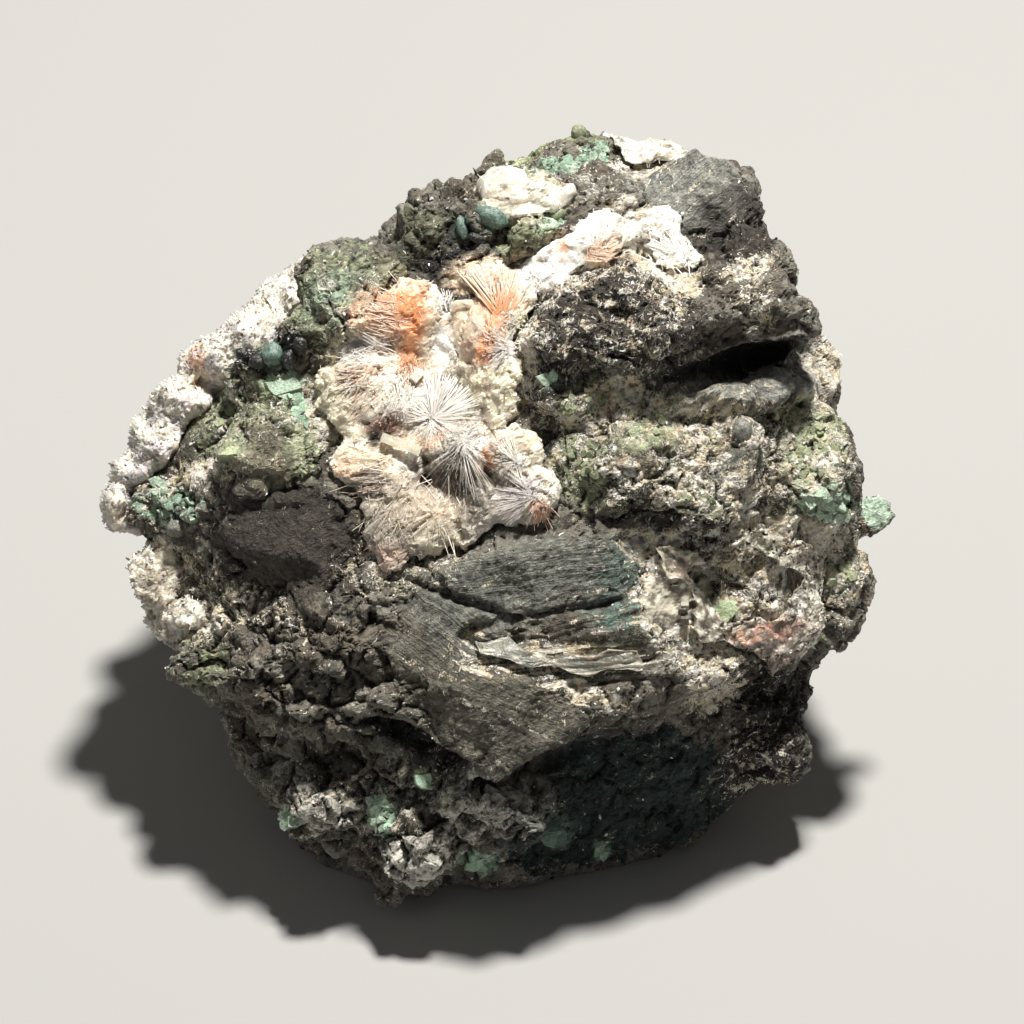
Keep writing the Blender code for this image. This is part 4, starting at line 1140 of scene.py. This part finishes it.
def ray_of(uvw):
    """A coordinate that runs round the nearest spray's centre, and how strong its streaks are there."""
    nearest = np.full(len(uvw), 1e9)
    ray = np.zeros((len(uvw), 3))
    streak = np.zeros(len(uvw))
    for number, plan in enumerate(SPRAYS.values()):
        delta = uvw[:, :2] - np.array(photo(*plan[0]))
        far = np.linalg.norm(delta, axis=1)
        low, high, length = plan[2:5]
        turn = np.degrees(np.arctan2(delta[:, 1], delta[:, 0]))
        off = np.abs((turn - 0.5 * (low + high) + 180) % 360 - 180) - 0.5 * (high - low)
        inside = 1 - smooth(0.0, 25.0, off)
        reach = far / length
        score = reach + 1.5 * (1 - inside)
        take = score < nearest
        nearest = np.where(take, score, nearest)
        way = delta / np.maximum(far, 1e-3)[:, None]
        ray[take] = np.column_stack((way * 9.0, np.full(len(uvw), number * 3.7)))[take]
        streak = np.where(take, inside * smooth(0.0, 0.2, reach) * (1 - smooth(1.0, 1.4, reach)), streak)
    return ray, streak


def crystal_material():
    n = Nodes("thomsonite")
    glass = n.attribute("glass")
    fine = n.noise(0.5, 3.0, 0.65)
    ray = n.noise(0.5, 3.0, 0.7, 0.0, n.attribute("ray", "Vector"))
    streak = n.attribute("streak")
    own = n.attribute("tint", "Color")
    colour = n.scaled(own, n.ramp(n.attribute("crumb"), 0.0, 1.0, 0.88, 1.10))
    colour = n.scaled(colour, n.ramp(n.noise(2.4, 3.0), 0.35, 0.65, 0.84, 1.08))
    colour = n.mix(n.math("MULTIPLY", n.ramp(ray, 0.53, 0.66, 0.0, 0.75), streak), colour, (0.95, 0.93, 0.89))
    shadow = n.math("MULTIPLY", n.ramp(ray, 0.47, 0.36), streak)
    colour = n.scaled(colour, n.ramp(shadow, 0.0, 1.0, 1.0, 0.70))
    glints = n.ramp(fine, 0.56, 0.70, 0.0, 0.6)
    light = n.math("MULTIPLY", glints, n.ramp(n.noise(3.3, 2.0), 0.42, 0.58, 0.2, 1.0))
    colour = n.mix(light, colour, (0.95, 0.92, 0.86))
    colour = n.scaled(colour, n.ramp(fine, 0.44, 0.32, 1.0, 0.80))
    # Painted shade: darker in the crust's pits
    colour = n.scaled(colour, n.ramp(n.attribute("pit"), 0.1, 1.0, 1.0, 0.5))
    n.put(colour, n.shader.inputs["Base Color"])
    rough = n.ramp(fine, 0.3, 0.7, 0.25, 0.6)
    n.put(n.math("MULTIPLY", rough, n.ramp(glass, 0.0, 1.0, 1.0, 0.6)), n.shader.inputs["Roughness"])
    n.shader.inputs["Subsurface Weight"].default_value = 0.45
    n.shader.inputs["Subsurface Radius"].default_value = (1.0, 0.75, 0.55)
    n.shader.inputs["Subsurface Scale"].default_value = 1.2 * MM
    relief = n.total((fine, 0.7, 0.0), (n.math("MULTIPLY", ray, streak), 1.1, 0.0))
    n.bump(n.math("MULTIPLY", relief, n.ramp(glass, 0.0, 1.0, 1.0, 0.6)), 0.4, 0.9)
    return n.material


def needle_material():
    n = Nodes("needles")
    n.put(n.attribute("tint", "Color"), n.shader.inputs["Base Color"])
    n.shader.inputs["Roughness"].default_value = 0.35
    n.shader.inputs["IOR"].default_value = 1.53
    n.shader.inputs["Subsurface Weight"].default_value = 0.4
    n.shader.inputs["Subsurface Radius"].default_value = (1.0, 0.9, 0.8)
    n.shader.inputs["Subsurface Scale"].default_value = 0.7 * MM
    return n.material


def clear_material():
    """Clear crystal, a little cloudy."""
    n = Nodes("clear_crystal")
    cloud = n.noise(0.9, 3.0)
    n.put(n.mix(n.ramp(cloud, 0.35, 0.65), (0.95, 0.94, 0.88), n.attribute("tint", "Color")),
          n.shader.inputs["Base Color"])
    n.put(n.ramp(cloud, 0.4, 0.7, 0.08, 0.35), n.shader.inputs["Roughness"])
    n.shader.inputs["IOR"].default_value = 1.53
    n.shader.inputs["Transmission Weight"].default_value = 0.4
    return n.material


# What a spray's tints are multiplied by, and a needle's triangles, with corners 0 to 2 at its root
NEEDLE_WARMTH = np.array((1.02, 0.965, 0.90))
NEEDLE_FACES = np.array([
    (0, 1, 4), (0, 4, 3), (1, 2, 5), (1, 5, 4), (2, 0, 3), (2, 3, 5), (2, 1, 0), (3, 4, 5),
])


def blades(name, roots, tips, root_width, tip_width, root_colours, tip_colours, lit, rng):
    """Three-sided needles from roots to tips in one piece, shaded mostly by lit, their ground's normals."""
    way = tips - roots
    way /= np.maximum(np.linalg.norm(way, axis=1), 1e-9)[:, None]
    other = lit - way * np.einsum("ij,ij->i", way, lit)[:, None] + 1e-3 * rng.standard_normal(way.shape)
    other /= np.linalg.norm(other, axis=1)[:, None]
    side = np.cross(other, way)
    rings = []
    for ends, width in ((roots, root_width), (tips, tip_width)):
        for turn in (90, 210, 330):
            around = math.cos(math.radians(turn)) * side + 0.5 * math.sin(math.radians(turn)) * other
            rings.append(ends + around * (0.5 * width)[:, None])
    verts = np.stack(rings, axis=1).reshape(-1, 3)
    faces = (NEEDLE_FACES[None] + 6 * np.arange(len(roots))[:, None, None]).reshape(-1, 3)
    piece = piece_of(name, verts, faces)
    colours = np.stack([root_colours] * 3 + [tip_colours] * 3, axis=1).reshape(-1, 3)
    add_colours(piece.data, "tint", colours)
    shown = np.repeat(lit, 6, axis=0) + 0.3 * normals(piece.data)
    shown /= np.linalg.norm(shown, axis=1)[:, None]
    piece.data.shade_smooth()
    piece.data.normals_split_custom_set_from_vertices(shown)
    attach(piece, "root")
    return piece


def ground_height(tree, u, v):
    """w of the surface under (u, v) of the face, in mm, or None."""
    hit, _, _, _ = tree.ray_cast(stand(u, v, FAR_OUT), -OUT)
    if hit is None:
        return None
    return float(show_coordinates(np.array([hit]))[0, 2])


def spray_piece(tree):
    """Fans of needles that lie from their centres down on to the ground around them."""
    rng = np.random.default_rng(11)
    roots, tips, widths, root_colours, tip_colours = [], [], [], [], []
    for plan in SPRAYS.values():
        centre, spread, turn_low, turn_high, length, low, high, width, count, root_tint, tip_tint = plan
        middle = np.array(photo(*centre))
        for _ in range(count):
            u, v = middle + rng.normal(0, spread, 2)
            top = ground_height(tree, u, v)
            if top is None:
                continue
            turn = math.radians(rng.uniform(turn_low, turn_high))
            reach = length * rng.uniform(0.45, 1.08)
            tip_u, tip_v = u + reach * math.cos(turn), v + reach * math.sin(turn)
            ground = ground_height(tree, tip_u, tip_v)
            if ground is None or abs(ground - top) > 1.3 * reach:
                continue
            height = low + (high - low) * rng.random() ** 1.6
            tip = np.array((tip_u, tip_v, ground + height))
            root = np.array((u, v, top + (0.35 * height if spread < 0.5 else -0.1)))
            begin = rng.uniform(0.0, 0.3)
            roots.append(root * (1 - begin) + tip * begin)
            tips.append(tip)
            widths.append(width * rng.uniform(0.6, 1.5))
            shade = rng.uniform(0.85, 1.08)
            share = rng.uniform(0.6, 1.0)
            first, last = (np.array(TINTS[tint]) * NEEDLE_WARMTH for tint in (root_tint, tip_tint))
            root_colours.append(first * shade)
            tip_colours.append((first * (1 - share) + last * share) * shade)
    widths = np.array(widths) * MM
    lit = np.tile(np.array(0.6 * OUT + Vector((0, 0, 0.4))), (len(roots), 1))
    return blades("crystal_sprays", stood(np.array(roots)), stood(np.array(tips)), 0.7 * widths, 0.6 * widths,
                  np.array(root_colours), np.array(tip_colours), lit, rng)


def fur_piece(crusts):
    """Short blades on the rough stretches of the crusts."""
    rng = np.random.default_rng(23)
    roots, tips, widths, colours, lit = [], [], [], [], []
    for crust in crusts:
        mesh = crust.data
        plan = FUR.get(crust.name.replace("crystals", "thomsonite"), FUR["thomsonite_hollow_crust"])
        length, width, space, (way_u, way_v) = plan
        free = 1.0 - read_floats(mesh, "glass")
        count = int(sum(face.area for face in mesh.polygons) * free.mean() / (space * MM) ** 2)
        if count < 30:
            continue
        spots, out, near = spread_over(mesh, free + 1e-4, count, rng)
        aim = np.array(ACROSS * way_u + UP_FACE * way_v)
        way = 0.5 * out + 1.4 * aim + (0.8 if not way_u else 0.5) * rng.standard_normal(out.shape)
        way /= np.linalg.norm(way, axis=1)[:, None]
        away = np.einsum("ij,ij->i", way, out)
        way = way + out * np.maximum(0.1 - away, 0)[:, None]
        reach = length * rng.uniform(0.45, 1.55, len(spots)) * MM
        roots.append(spots - way * (0.45 * length * MM))
        tips.append(spots + way * reach[:, None])
        widths.append(width * rng.uniform(0.45, 1.55, len(spots)) * MM)
        shadow = 1 - 0.4 * smooth(0.1, 0.9, read_floats(mesh, "pit")[near])
        shade = rng.uniform(0.85, 1.12, len(spots)) * shadow
        colours.append(read_colours(mesh, "tint")[near] * shade[:, None])
        lit.append(out)
    widths = np.concatenate(widths)
    colours = np.concatenate(colours)
    # Roots a tenth darker: painted shade at the foot of the blades
    return blades("crystal_fur", np.concatenate(roots), np.concatenate(tips), widths, 0.8 * widths,
                  0.9 * colours, colours, np.concatenate(lit), rng)


# Straight square crystals in the hollow: middle pixel, half length and half width in mm, turn in the face and
# tilt out of it in degrees, how far the middle stands over the ground in mm, tint
PRISMS = {
    "square": ((404, 446), 3.3, 0.75, -20, 6, 2.0, "cream"),
    "beside_square": ((414, 455), 1.4, 0.7, 66, 30, 0.6, "white"),
    "glinting": ((418, 379), 1.1, 0.7, 50, -20, 0.7, "white"),
}


def prism_piece(tree):
    verts, colours = [], []
    for centre, half_length, half_width, turn, tilt, lift, tint in PRISMS.values():
        u, v = photo(*centre)
        middle = Vector((u, v, ground_height(tree, u, v) + lift))
        turn, tilt = math.radians(turn), math.radians(tilt)
        along = Vector((math.cos(turn) * math.cos(tilt), math.sin(turn) * math.cos(tilt), math.sin(tilt)))
        side = along.cross(Vector((0, 0, 1))).normalized()
        up = side.cross(along)
        for x, y, z in product((-1, 1), repeat=3):
            verts.append(middle + along * half_length * x + side * half_width * y + up * half_width * z)
            colours.append(TINTS[tint])
    faces = (BLOCK_FACES[None] + 8 * np.arange(len(PRISMS))[:, None, None]).reshape(-1, 3)
    piece = piece_of("crystal_prisms", stood(np.array(verts)), faces)
    add_colours(piece.data, "tint", np.array(colours))
    bevel = piece.modifiers.new("worn edges", "BEVEL")
    bevel.width = 0.12 * MM
    bevel.segments = 2
    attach(piece, "root")
    return piece


# Small glassy balls and beans on the rock: pixel, half sizes in pixels, turn, tint
NODULES = {
    "teal": ((277, 357), (11, 11), 0, "bean"),
    "dark_a": ((258, 344), (9, 9), 0, "black"),
    "dark_b": ((262, 364), (9, 8), 0, "black"),
    "dark_c": ((292, 362), (8, 10), 0, "black"),
    "dark_d": ((246, 356), (7, 6), 0, "black"),
    "dark_e": ((304, 346), (7, 7), 0, "black"),
    "mint": ((222, 383), (10, 10), 0, "moss"),
    "mint_low": ((212, 398), (7, 7), 0, "moss"),
    "bean_right": ((492, 222), (17, 10), -28, "bean"),
    "bean_left": ((463, 232), (6, 12), 15, "bean"),
    "bean_low": ((478, 243), (10, 5), -20, "black"),
    "boss_top": ((556, 218), (9, 8), 0, "moss"),
    "knob": ((579, 132), (8, 8), 0, "moss"),
    "knob_left": ((568, 126), (5, 9), 0, "cream"),
    "grey_left": ((181, 528), (12, 9), 20, "slate"),
    "right": ((736, 432), (10, 11), 0, "slate"),
}


def nodule_piece(tree):
    """Lumpy balls, half sunk in the rock."""
    rng = np.random.default_rng(5)
    ball = bmesh.new()
    bmesh.ops.create_icosphere(ball, subdivisions=3, radius=1.0)
    shape = np.array([vert.co[:] for vert in ball.verts])
    ball_faces = np.array([[vert.index for vert in face.verts] for face in ball.faces])
    ball.free()
    verts, faces, colours = [], [], []
    for centre, (half_u, half_v), turn, tint in NODULES.values():
        u, v = photo(*centre)
        top = ground_height(tree, u, v)
        if top is None:
            continue
        number = len(faces)
        angle = math.radians(turn)
        lumps = np.array([noise.noise(Vector(p) * 1.6 + Vector((number * 5.0, 0, 0))) for p in shape])
        halves = np.array((half_u, half_v, 0.85 * min(half_u, half_v)))
        local = shape * (1 + 0.22 * lumps)[:, None] * halves * PIXEL
        x = local[:, 0] * math.cos(angle) - local[:, 1] * math.sin(angle)
        y = local[:, 0] * math.sin(angle) + local[:, 1] * math.cos(angle)
        w = top + 0.2 * min(half_u, half_v) * PIXEL
        faces.append(ball_faces + len(shape) * number)
        verts.append(np.column_stack((u + x, v + y, w + local[:, 2])))
        colours.append(np.array(TINTS[tint]) * rng.uniform(0.85, 1.15, (len(shape), 1)))
    piece = piece_of("glassy_nodules", stood(np.concatenate(verts)), np.concatenate(faces))
    piece.data.shade_smooth()
    add_colours(piece.data, "tint", np.concatenate(colours))
    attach(piece, "root")
    return piece


# Thin scales of celadonite: pixel, half sizes in pixels, turn, how many, size in mm, tint
SCALES = {
    "foot_chips": ((381, 806), (13, 20), 0, 16, 2.2, "pale_mint"),
    "foot_chip": ((424, 771), (7, 4), -20, 2, 3.2, "mint"),
    "foot_left": ((290, 815), (12, 8), -20, 7, 2.4, "pale_mint"),
    "low_green": ((480, 860), (14, 7), 0, 5, 2.6, "mint"),
    "low_bean": ((556, 830), (12, 10), 0, 4, 3.6, "bean"),
    "low_mint": ((602, 850), (5, 8), 0, 3, 2.0, "mint"),
    "mint_right": ((822, 503), (27, 19), 0, 30, 2.4, "pale_mint"),
    "moss_right": ((812, 455), (22, 32), 0, 30, 2.0, "lime"),
    "smooth_mint": ((284, 388), (12, 4), -8, 3, 4.2, "pale_mint"),
    "green_strip": ((302, 412), (18, 14), -30, 14, 2.0, "mint"),
    "flake_moss": ((232, 452), (8, 7), 0, 3, 3.2, "lime"),
    "leaf": ((715, 614), (13, 8), 20, 9, 3.2, "leaf"),
    "left_moss": ((172, 500), (18, 14), 0, 12, 2.0, "mint"),
    "left_fan": ((163, 486), (7, 8), 0, 3, 2.6, "pale_mint"),
    "crest_mint": ((597, 152), (11, 8), 0, 7, 2.0, "pale_mint"),
    "under_crest": ((552, 168), (28, 7), 12, 14, 2.0, "mint"),
    "pair_chip": ((548, 384), (6, 4), 20, 2, 2.6, "pale_mint"),
    "middle_green": ((578, 470), (18, 30), 20, 20, 1.9, "moss"),
    "below_boulder": ((590, 404), (40, 12), 20, 14, 1.8, "lime"),
    "olive_left": ((215, 410), (34, 16), 0, 12, 1.8, "moss"),
    "edge_green": ((838, 575), (12, 16), 0, 8, 2.0, "lime"),
    "field_green": ((650, 430), (26, 14), 20, 12, 1.8, "lime"),
}


def scale_piece(tree):
    """Six-sided scales, bent up a little from the rock that they lie on."""
    rng = np.random.default_rng(17)
    around = np.radians(np.arange(0, 360, 60))
    verts, faces, colours = [], [], []
    for centre, (half_u, half_v), turn, count, size, tint in SCALES.values():
        ahead, aside = math.cos(math.radians(turn)), math.sin(math.radians(turn))
        for _ in range(count):
            radius, way = math.sqrt(rng.random()), rng.uniform(0, 2 * math.pi)
            a, b = radius * math.cos(way) * half_u * PIXEL, radius * math.sin(way) * half_v * PIXEL
            u, v = photo(*centre)
            u, v = u + a * ahead - b * aside, v + a * aside + b * ahead
            hit, normal, _, _ = tree.ray_cast(stand(u, v, FAR_OUT), -OUT)
            if hit is None:
                continue
            up = (0.6 * normal + OUT + 0.38 * Vector(rng.standard_normal(3))).normalized()
            side = up.cross(Vector(rng.standard_normal(3))).normalized()
            other = up.cross(side)
            reach = 0.5 * size * rng.uniform(0.5, 1.2) * MM * rng.uniform(0.45, 1.25, 6)
            middle = hit + up * rng.uniform(0.05, 0.30) * MM
            begin = len(verts)
            for level, grow in ((0.05, 0.94), (-0.16, 1.0)):
                for step in range(6):
                    verts.append(middle + (side * math.cos(around[step]) + other * math.sin(around[step]))
                                 * reach[step] * grow + up * level * MM * size)
            verts.append(middle + up * rng.uniform(0.02, 0.12) * MM * size)
            for step in range(6):
                here, after = begin + step, begin + (step + 1) % 6
                faces += [(begin + 12, here, after), (here, here + 6, after), (after, here + 6, after + 6)]
            shade = np.array(TINTS[tint]) * rng.uniform(0.75, 1.2)
            # The lower ring darker: painted shade along each scale's underside
            colours += [shade] * 6 + [shade * 0.6] * 6 + [shade]
    piece = piece_of("celadonite_scales", np.array(verts), np.array(faces))
    add_colours(piece.data, "tint", np.array(colours))
    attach(piece, "root")
    return piece


def thread_piece(rock, tree):
    """Thin curled threads of white crust that lie on the rock."""
    rng = np.random.default_rng(29)
    mesh = rock.data
    bloom, plane, cover, pit = (read_floats(mesh, name) for name in ("bloom", "plane", "cover", "pit"))
    tint = read_colours(mesh, "tint")
    seen = smooth(-0.4, 0.2, normals(mesh) @ np.array(OUT))
    weight = (0.15 + 0.85 * seen) * np.maximum(bloom - 0.12, 0.004) * (1.0 - 0.9 * plane)
    spots, out, near = spread_over(mesh, weight, THREADS, rng)
    verts, faces, colours = [], [], []
    for spot, normal, index in zip(spots, out, near):
        normal = Vector(normal)
        way = normal.cross(Vector(rng.standard_normal(3))).normalized()
        step = rng.uniform(0.10, 0.36) * MM
        bend = rng.normal(0, 0.7)
        half = rng.uniform(0.03, 0.09) * MM
        point = Vector(spot)
        # Random tone, and painted shade in pits
        shade = rng.uniform(0.7, 1.05) * (1 - 0.6 * smooth(0.0, 0.9, pit[index]))
        if rng.random() < 0.3 * cover[index]:
            colour = (0.5 * tint[index] + 0.5 * np.array(TINTS["cream"])) * shade
        else:
            colour = (np.array(TINTS["white"]) * 0.5 + np.array(TINTS["cream"]) * 0.5) * shade
        begin = len(verts)
        for _ in range(4):
            near_point, near_normal, _, _ = tree.find_nearest(point)
            if near_point is None:
                break
            side = near_normal.cross(way).normalized()
            lifted = near_point + near_normal * 0.05 * MM
            verts += [lifted - side * half, lifted + side * half]
            colours += [colour, colour]
            way = (way + side * bend * 0.5).normalized()
            way = (way - near_normal * way.dot(near_normal)).normalized()
            point = near_point + way * step
        for rung in range(begin, len(verts) - 2, 2):
            faces += [(rung, rung + 2, rung + 1), (rung + 1, rung + 2, rung + 3)]
    piece = piece_of("crystal_threads", np.array(verts), np.array(faces))
    add_colours(piece.data, "tint", np.array(colours))
    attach(piece, "root")
    return piece


# Crumbs and flecks on the rock: their shapes' corners and triangles

OCTAHEDRON = np.array([(1, 0, 0), (-1, 0, 0), (0, 1, 0), (0, -1, 0), (0, 0, 1), (0, 0, -1)], dtype=float)
OCTAHEDRON_FACES = np.array([
    (0, 2, 4), (2, 1, 4), (1, 3, 4), (3, 0, 4), (2, 0, 5), (1, 2, 5), (3, 1, 5), (0, 3, 5),
])
BLOCK = np.array(list(product((-0.7, 0.7), repeat=3)))
BLOCK_FACES = np.array([
    (0, 1, 3), (0, 3, 2), (4, 6, 7), (4, 7, 5), (0, 4, 5), (0, 5, 1), (2, 3, 7), (2, 7, 6),
    (0, 2, 6), (0, 6, 4), (1, 5, 7), (1, 7, 3),
])


def grains(name, shape, shape_faces, spots, out, sizes, flatness, rng):
    """Angular grains, half sunk in the surface and lying along it."""
    count = len(spots)
    stretch = np.stack((rng.uniform(0.7, 1.3, count), rng.uniform(0.5, 1.0, count),
                        flatness * rng.uniform(0.6, 1.2, count)), axis=1)
    jitter = 1 + 0.28 * rng.standard_normal((count, len(shape), 1))
    local = shape[None] * jitter * stretch[:, None, :] * sizes[:, None, None]
    normal = out + 0.55 * rng.standard_normal(out.shape)
    normal /= np.linalg.norm(normal, axis=1)[:, None]
    side = np.cross(normal, rng.standard_normal(out.shape))
    side /= np.linalg.norm(side, axis=1)[:, None]
    turn = np.stack((side, np.cross(normal, side), normal), axis=1)
    verts = np.einsum("nki,nij->nkj", local, turn) + (spots + out * (0.1 * sizes)[:, None])[:, None, :]
    faces = (shape_faces[None] + len(shape) * np.arange(count)[:, None, None]).reshape(-1, 3)
    piece = piece_of(name, verts.reshape(-1, 3), faces)
    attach(piece, "root")
    return piece


def grit_pieces(rock):
    """Crumbs of rock, skin and crust all over, and flecks of crystal where the crust is thick."""
    mesh = rock.data
    cover, bloom, plane, pit = (read_floats(mesh, name) for name in ("cover", "bloom", "plane", "pit"))
    tint = read_colours(mesh, "tint")
    seen = smooth(-0.4, 0.2, normals(mesh) @ np.array(OUT))
    rng = np.random.default_rng(3)

    spots, out, near = spread_over(mesh, (0.25 + 0.75 * seen) * (1.0 - 0.97 * plane), CRUMBS, rng)
    sizes = (0.11 + 0.24 * rng.random(CRUMBS) ** 2.2) * MM
    crumbs = grains("basalt_crumbs", BLOCK, BLOCK_FACES, spots, out, sizes, 0.8, rng)
    dice = rng.random(CRUMBS)
    bare = np.array(TINTS["brown"]) * rng.uniform(0.3, 1.7, (CRUMBS, 1))
    skin = tint[near] * rng.uniform(0.6, 1.5, (CRUMBS, 1))
    white = np.array(TINTS["white"]) * 0.6 + np.array(TINTS["cream"]) * 0.4
    white = white * rng.uniform(0.55, 1.05, (CRUMBS, 1))
    is_white = dice < np.clip(1.5 * bloom[near] - 0.35, 0.02, 0.75)
    is_skin = rng.random(CRUMBS) < np.clip(1.2 * cover[near] - 0.1, 0, 1)
    colours = np.where(is_skin[:, None], skin, bare)
    colours = np.where(is_white[:, None], white, colours)
    # Painted shade: crumbs darker in pits
    colours *= (1 - 0.75 * smooth(0.0, 0.8, pit[near]))[:, None]
    add_colours(crumbs.data, "tint", np.repeat(colours, len(BLOCK), axis=0))

    weight = (0.2 + 0.8 * seen) * (np.clip(bloom, 0, 1) ** 1.6 + 0.02) * (1.0 - 0.8 * plane)
    spots, out, near = spread_over(mesh, weight, FLECKS, rng)
    sizes = (0.10 + 0.35 * rng.random(FLECKS) ** 2.5) * MM
    flecks = grains("crystal_flecks", OCTAHEDRON, OCTAHEDRON_FACES, spots, out, sizes, 0.45, rng)
    # Random tone, and painted shade in pits
    shade = rng.uniform(0.6, 1.1, (FLECKS, 1)) * (1 - 0.6 * smooth(0.1, 0.8, pit[near]))[:, None]
    add_colours(flecks.data, "tint", np.repeat(np.array(TINTS["white"]) * shade, len(OCTAHEDRON), axis=0))
    return crumbs, flecks


def crumb_material():
    n = Nodes("crumbs")
    fine = n.noise(0.4, 3.0, 0.7)
    colour = n.scaled(n.attribute("tint", "Color"), n.ramp(fine, 0.3, 0.7, 0.6, 1.3))
    n.put(colour, n.shader.inputs["Base Color"])
    n.shader.inputs["Roughness"].default_value = 0.7
    n.bump(fine, 0.3, 0.8)
    return n.material


# Stage, in metres and watts

FLOOR_HALF = 3.0
FLOOR_DROP = 0.0002        # how far the floor lies under the rock's foot
FLOOR_COLOUR = (0.40, 0.397, 0.388, 1)
WORLD_COLOUR = (1.0, 1.0, 0.98, 1)
WORLD_STRENGTH = 0.075
CAMERA_DISTANCE = 1.0

# Lights: place, size, power, colour
LIGHTS = {
    "key": ((0.12, 0.20, 1.12), 0.14, 24.0, (1.0, 0.97, 0.92)),
    "front_fill": ((0.3, -1.2, 0.9), 0.9, 0.55, (1.0, 0.99, 0.97)),
    "left_fill": ((-1.0, -0.4, 0.8), 0.8, 0.8, (1.0, 0.98, 0.95)),
}


def area_light(name, where, aim, size, power, colour):
    data = bpy.data.lights.new(name, "AREA")
    data.shape = "DISK"
    data.size = size
    data.energy = power
    data.color = colour
    light = place(name, data)
    light.location = where
    light.rotation_mode = "QUATERNION"
    light.rotation_quaternion = (aim - Vector(where)).to_track_quat("-Z", "Y")


def stage():
    mesh = bpy.data.meshes.new("floor")
    bm = bmesh.new()
    bmesh.ops.create_grid(bm, x_segments=2, y_segments=2, size=FLOOR_HALF)
    bm.to_mesh(mesh)
    bm.free()
    floor = place("floor", mesh)
    n = Nodes("floor")
    n.shader.inputs["Base Color"].default_value = FLOOR_COLOUR
    n.shader.inputs["Roughness"].default_value = 0.9
    floor.data.materials.append(n.material)
    floor.location.z = -FLOOR_DROP

    for name, (where, size, power, colour) in LIGHTS.items():
        area_light(name, where, stand(0, 0, 0), size, power, colour)
    world = bpy.data.worlds.new("studio")
    world.use_nodes = True
    world.node_tree.nodes["Background"].inputs["Color"].default_value = WORLD_COLOUR
    world.node_tree.nodes["Background"].inputs["Strength"].default_value = WORLD_STRENGTH
    bpy.context.scene.world = world

    data = bpy.data.cameras.new("camera")
    camera = place("camera", data)
    u, v = photo(FRAME_PIXELS / 2, FRAME_PIXELS / 2)
    camera.location = stand(u, v, 0) + OUT * CAMERA_DISTANCE
    camera.rotation_mode = "QUATERNION"
    camera.rotation_quaternion = (-OUT).to_track_quat("-Z", "Y")
    data.lens = data.sensor_width * CAMERA_DISTANCE / (FRAME_PIXELS * PIXEL * MM)
    bpy.context.scene.camera = camera
    bpy.context.scene.view_settings.view_transform = "Standard"


def nodule_material():
    n = Nodes("nodules")
    fine = n.noise(0.5, 3.0, 0.7)
    colour = n.scaled(n.attribute("tint", "Color"), n.ramp(fine, 0.3, 0.7, 0.6, 1.35))
    dust = n.ramp(n.noise(0.35, 3.0, 0.8), 0.60, 0.66, 0.0, 0.7)
    n.put(n.mix(dust, colour, (0.55, 0.56, 0.46)), n.shader.inputs["Base Color"])
    n.put(n.ramp(fine, 0.3, 0.7, 0.2, 0.5), n.shader.inputs["Roughness"])
    n.bump(fine, 0.25, 0.8)
    return n.material


def main():
    stage()
    rock = rock_piece()
    crystal = crystal_material()
    crusts = []
    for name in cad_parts:
        if name.startswith("thomsonite"):
            crust = crust_piece(name)
            crust.data.materials.append(crystal)
            crusts.append(crust)
    needle = needle_material()
    rock_tree = tree_of([rock])
    tree = tree_of(crusts + [rock])
    for name in SHEETS:
        sheet = sheet_piece(name, tree)
        sheet.data.materials.append(crystal)
        crusts.append(sheet)
    tree = tree_of(crusts + [rock])
    for piece in (spray_piece(tree), fur_piece(crusts)):
        piece.data.materials.append(needle)
    prism_piece(tree).data.materials.append(clear_material())
    nodule_piece(rock_tree).data.materials.append(nodule_material())
    crumb = crumb_material()
    scale_piece(rock_tree).data.materials.append(crumb)
    thread_piece(rock, rock_tree).data.materials.append(needle)
    crumbs, flecks = grit_pieces(rock)
    crumbs.data.materials.append(crumb)
    flecks.data.materials.append(needle)
    basalt = basalt_material()
    for part in rock_parts(rock):
        part.data.materials.append(basalt)


main()
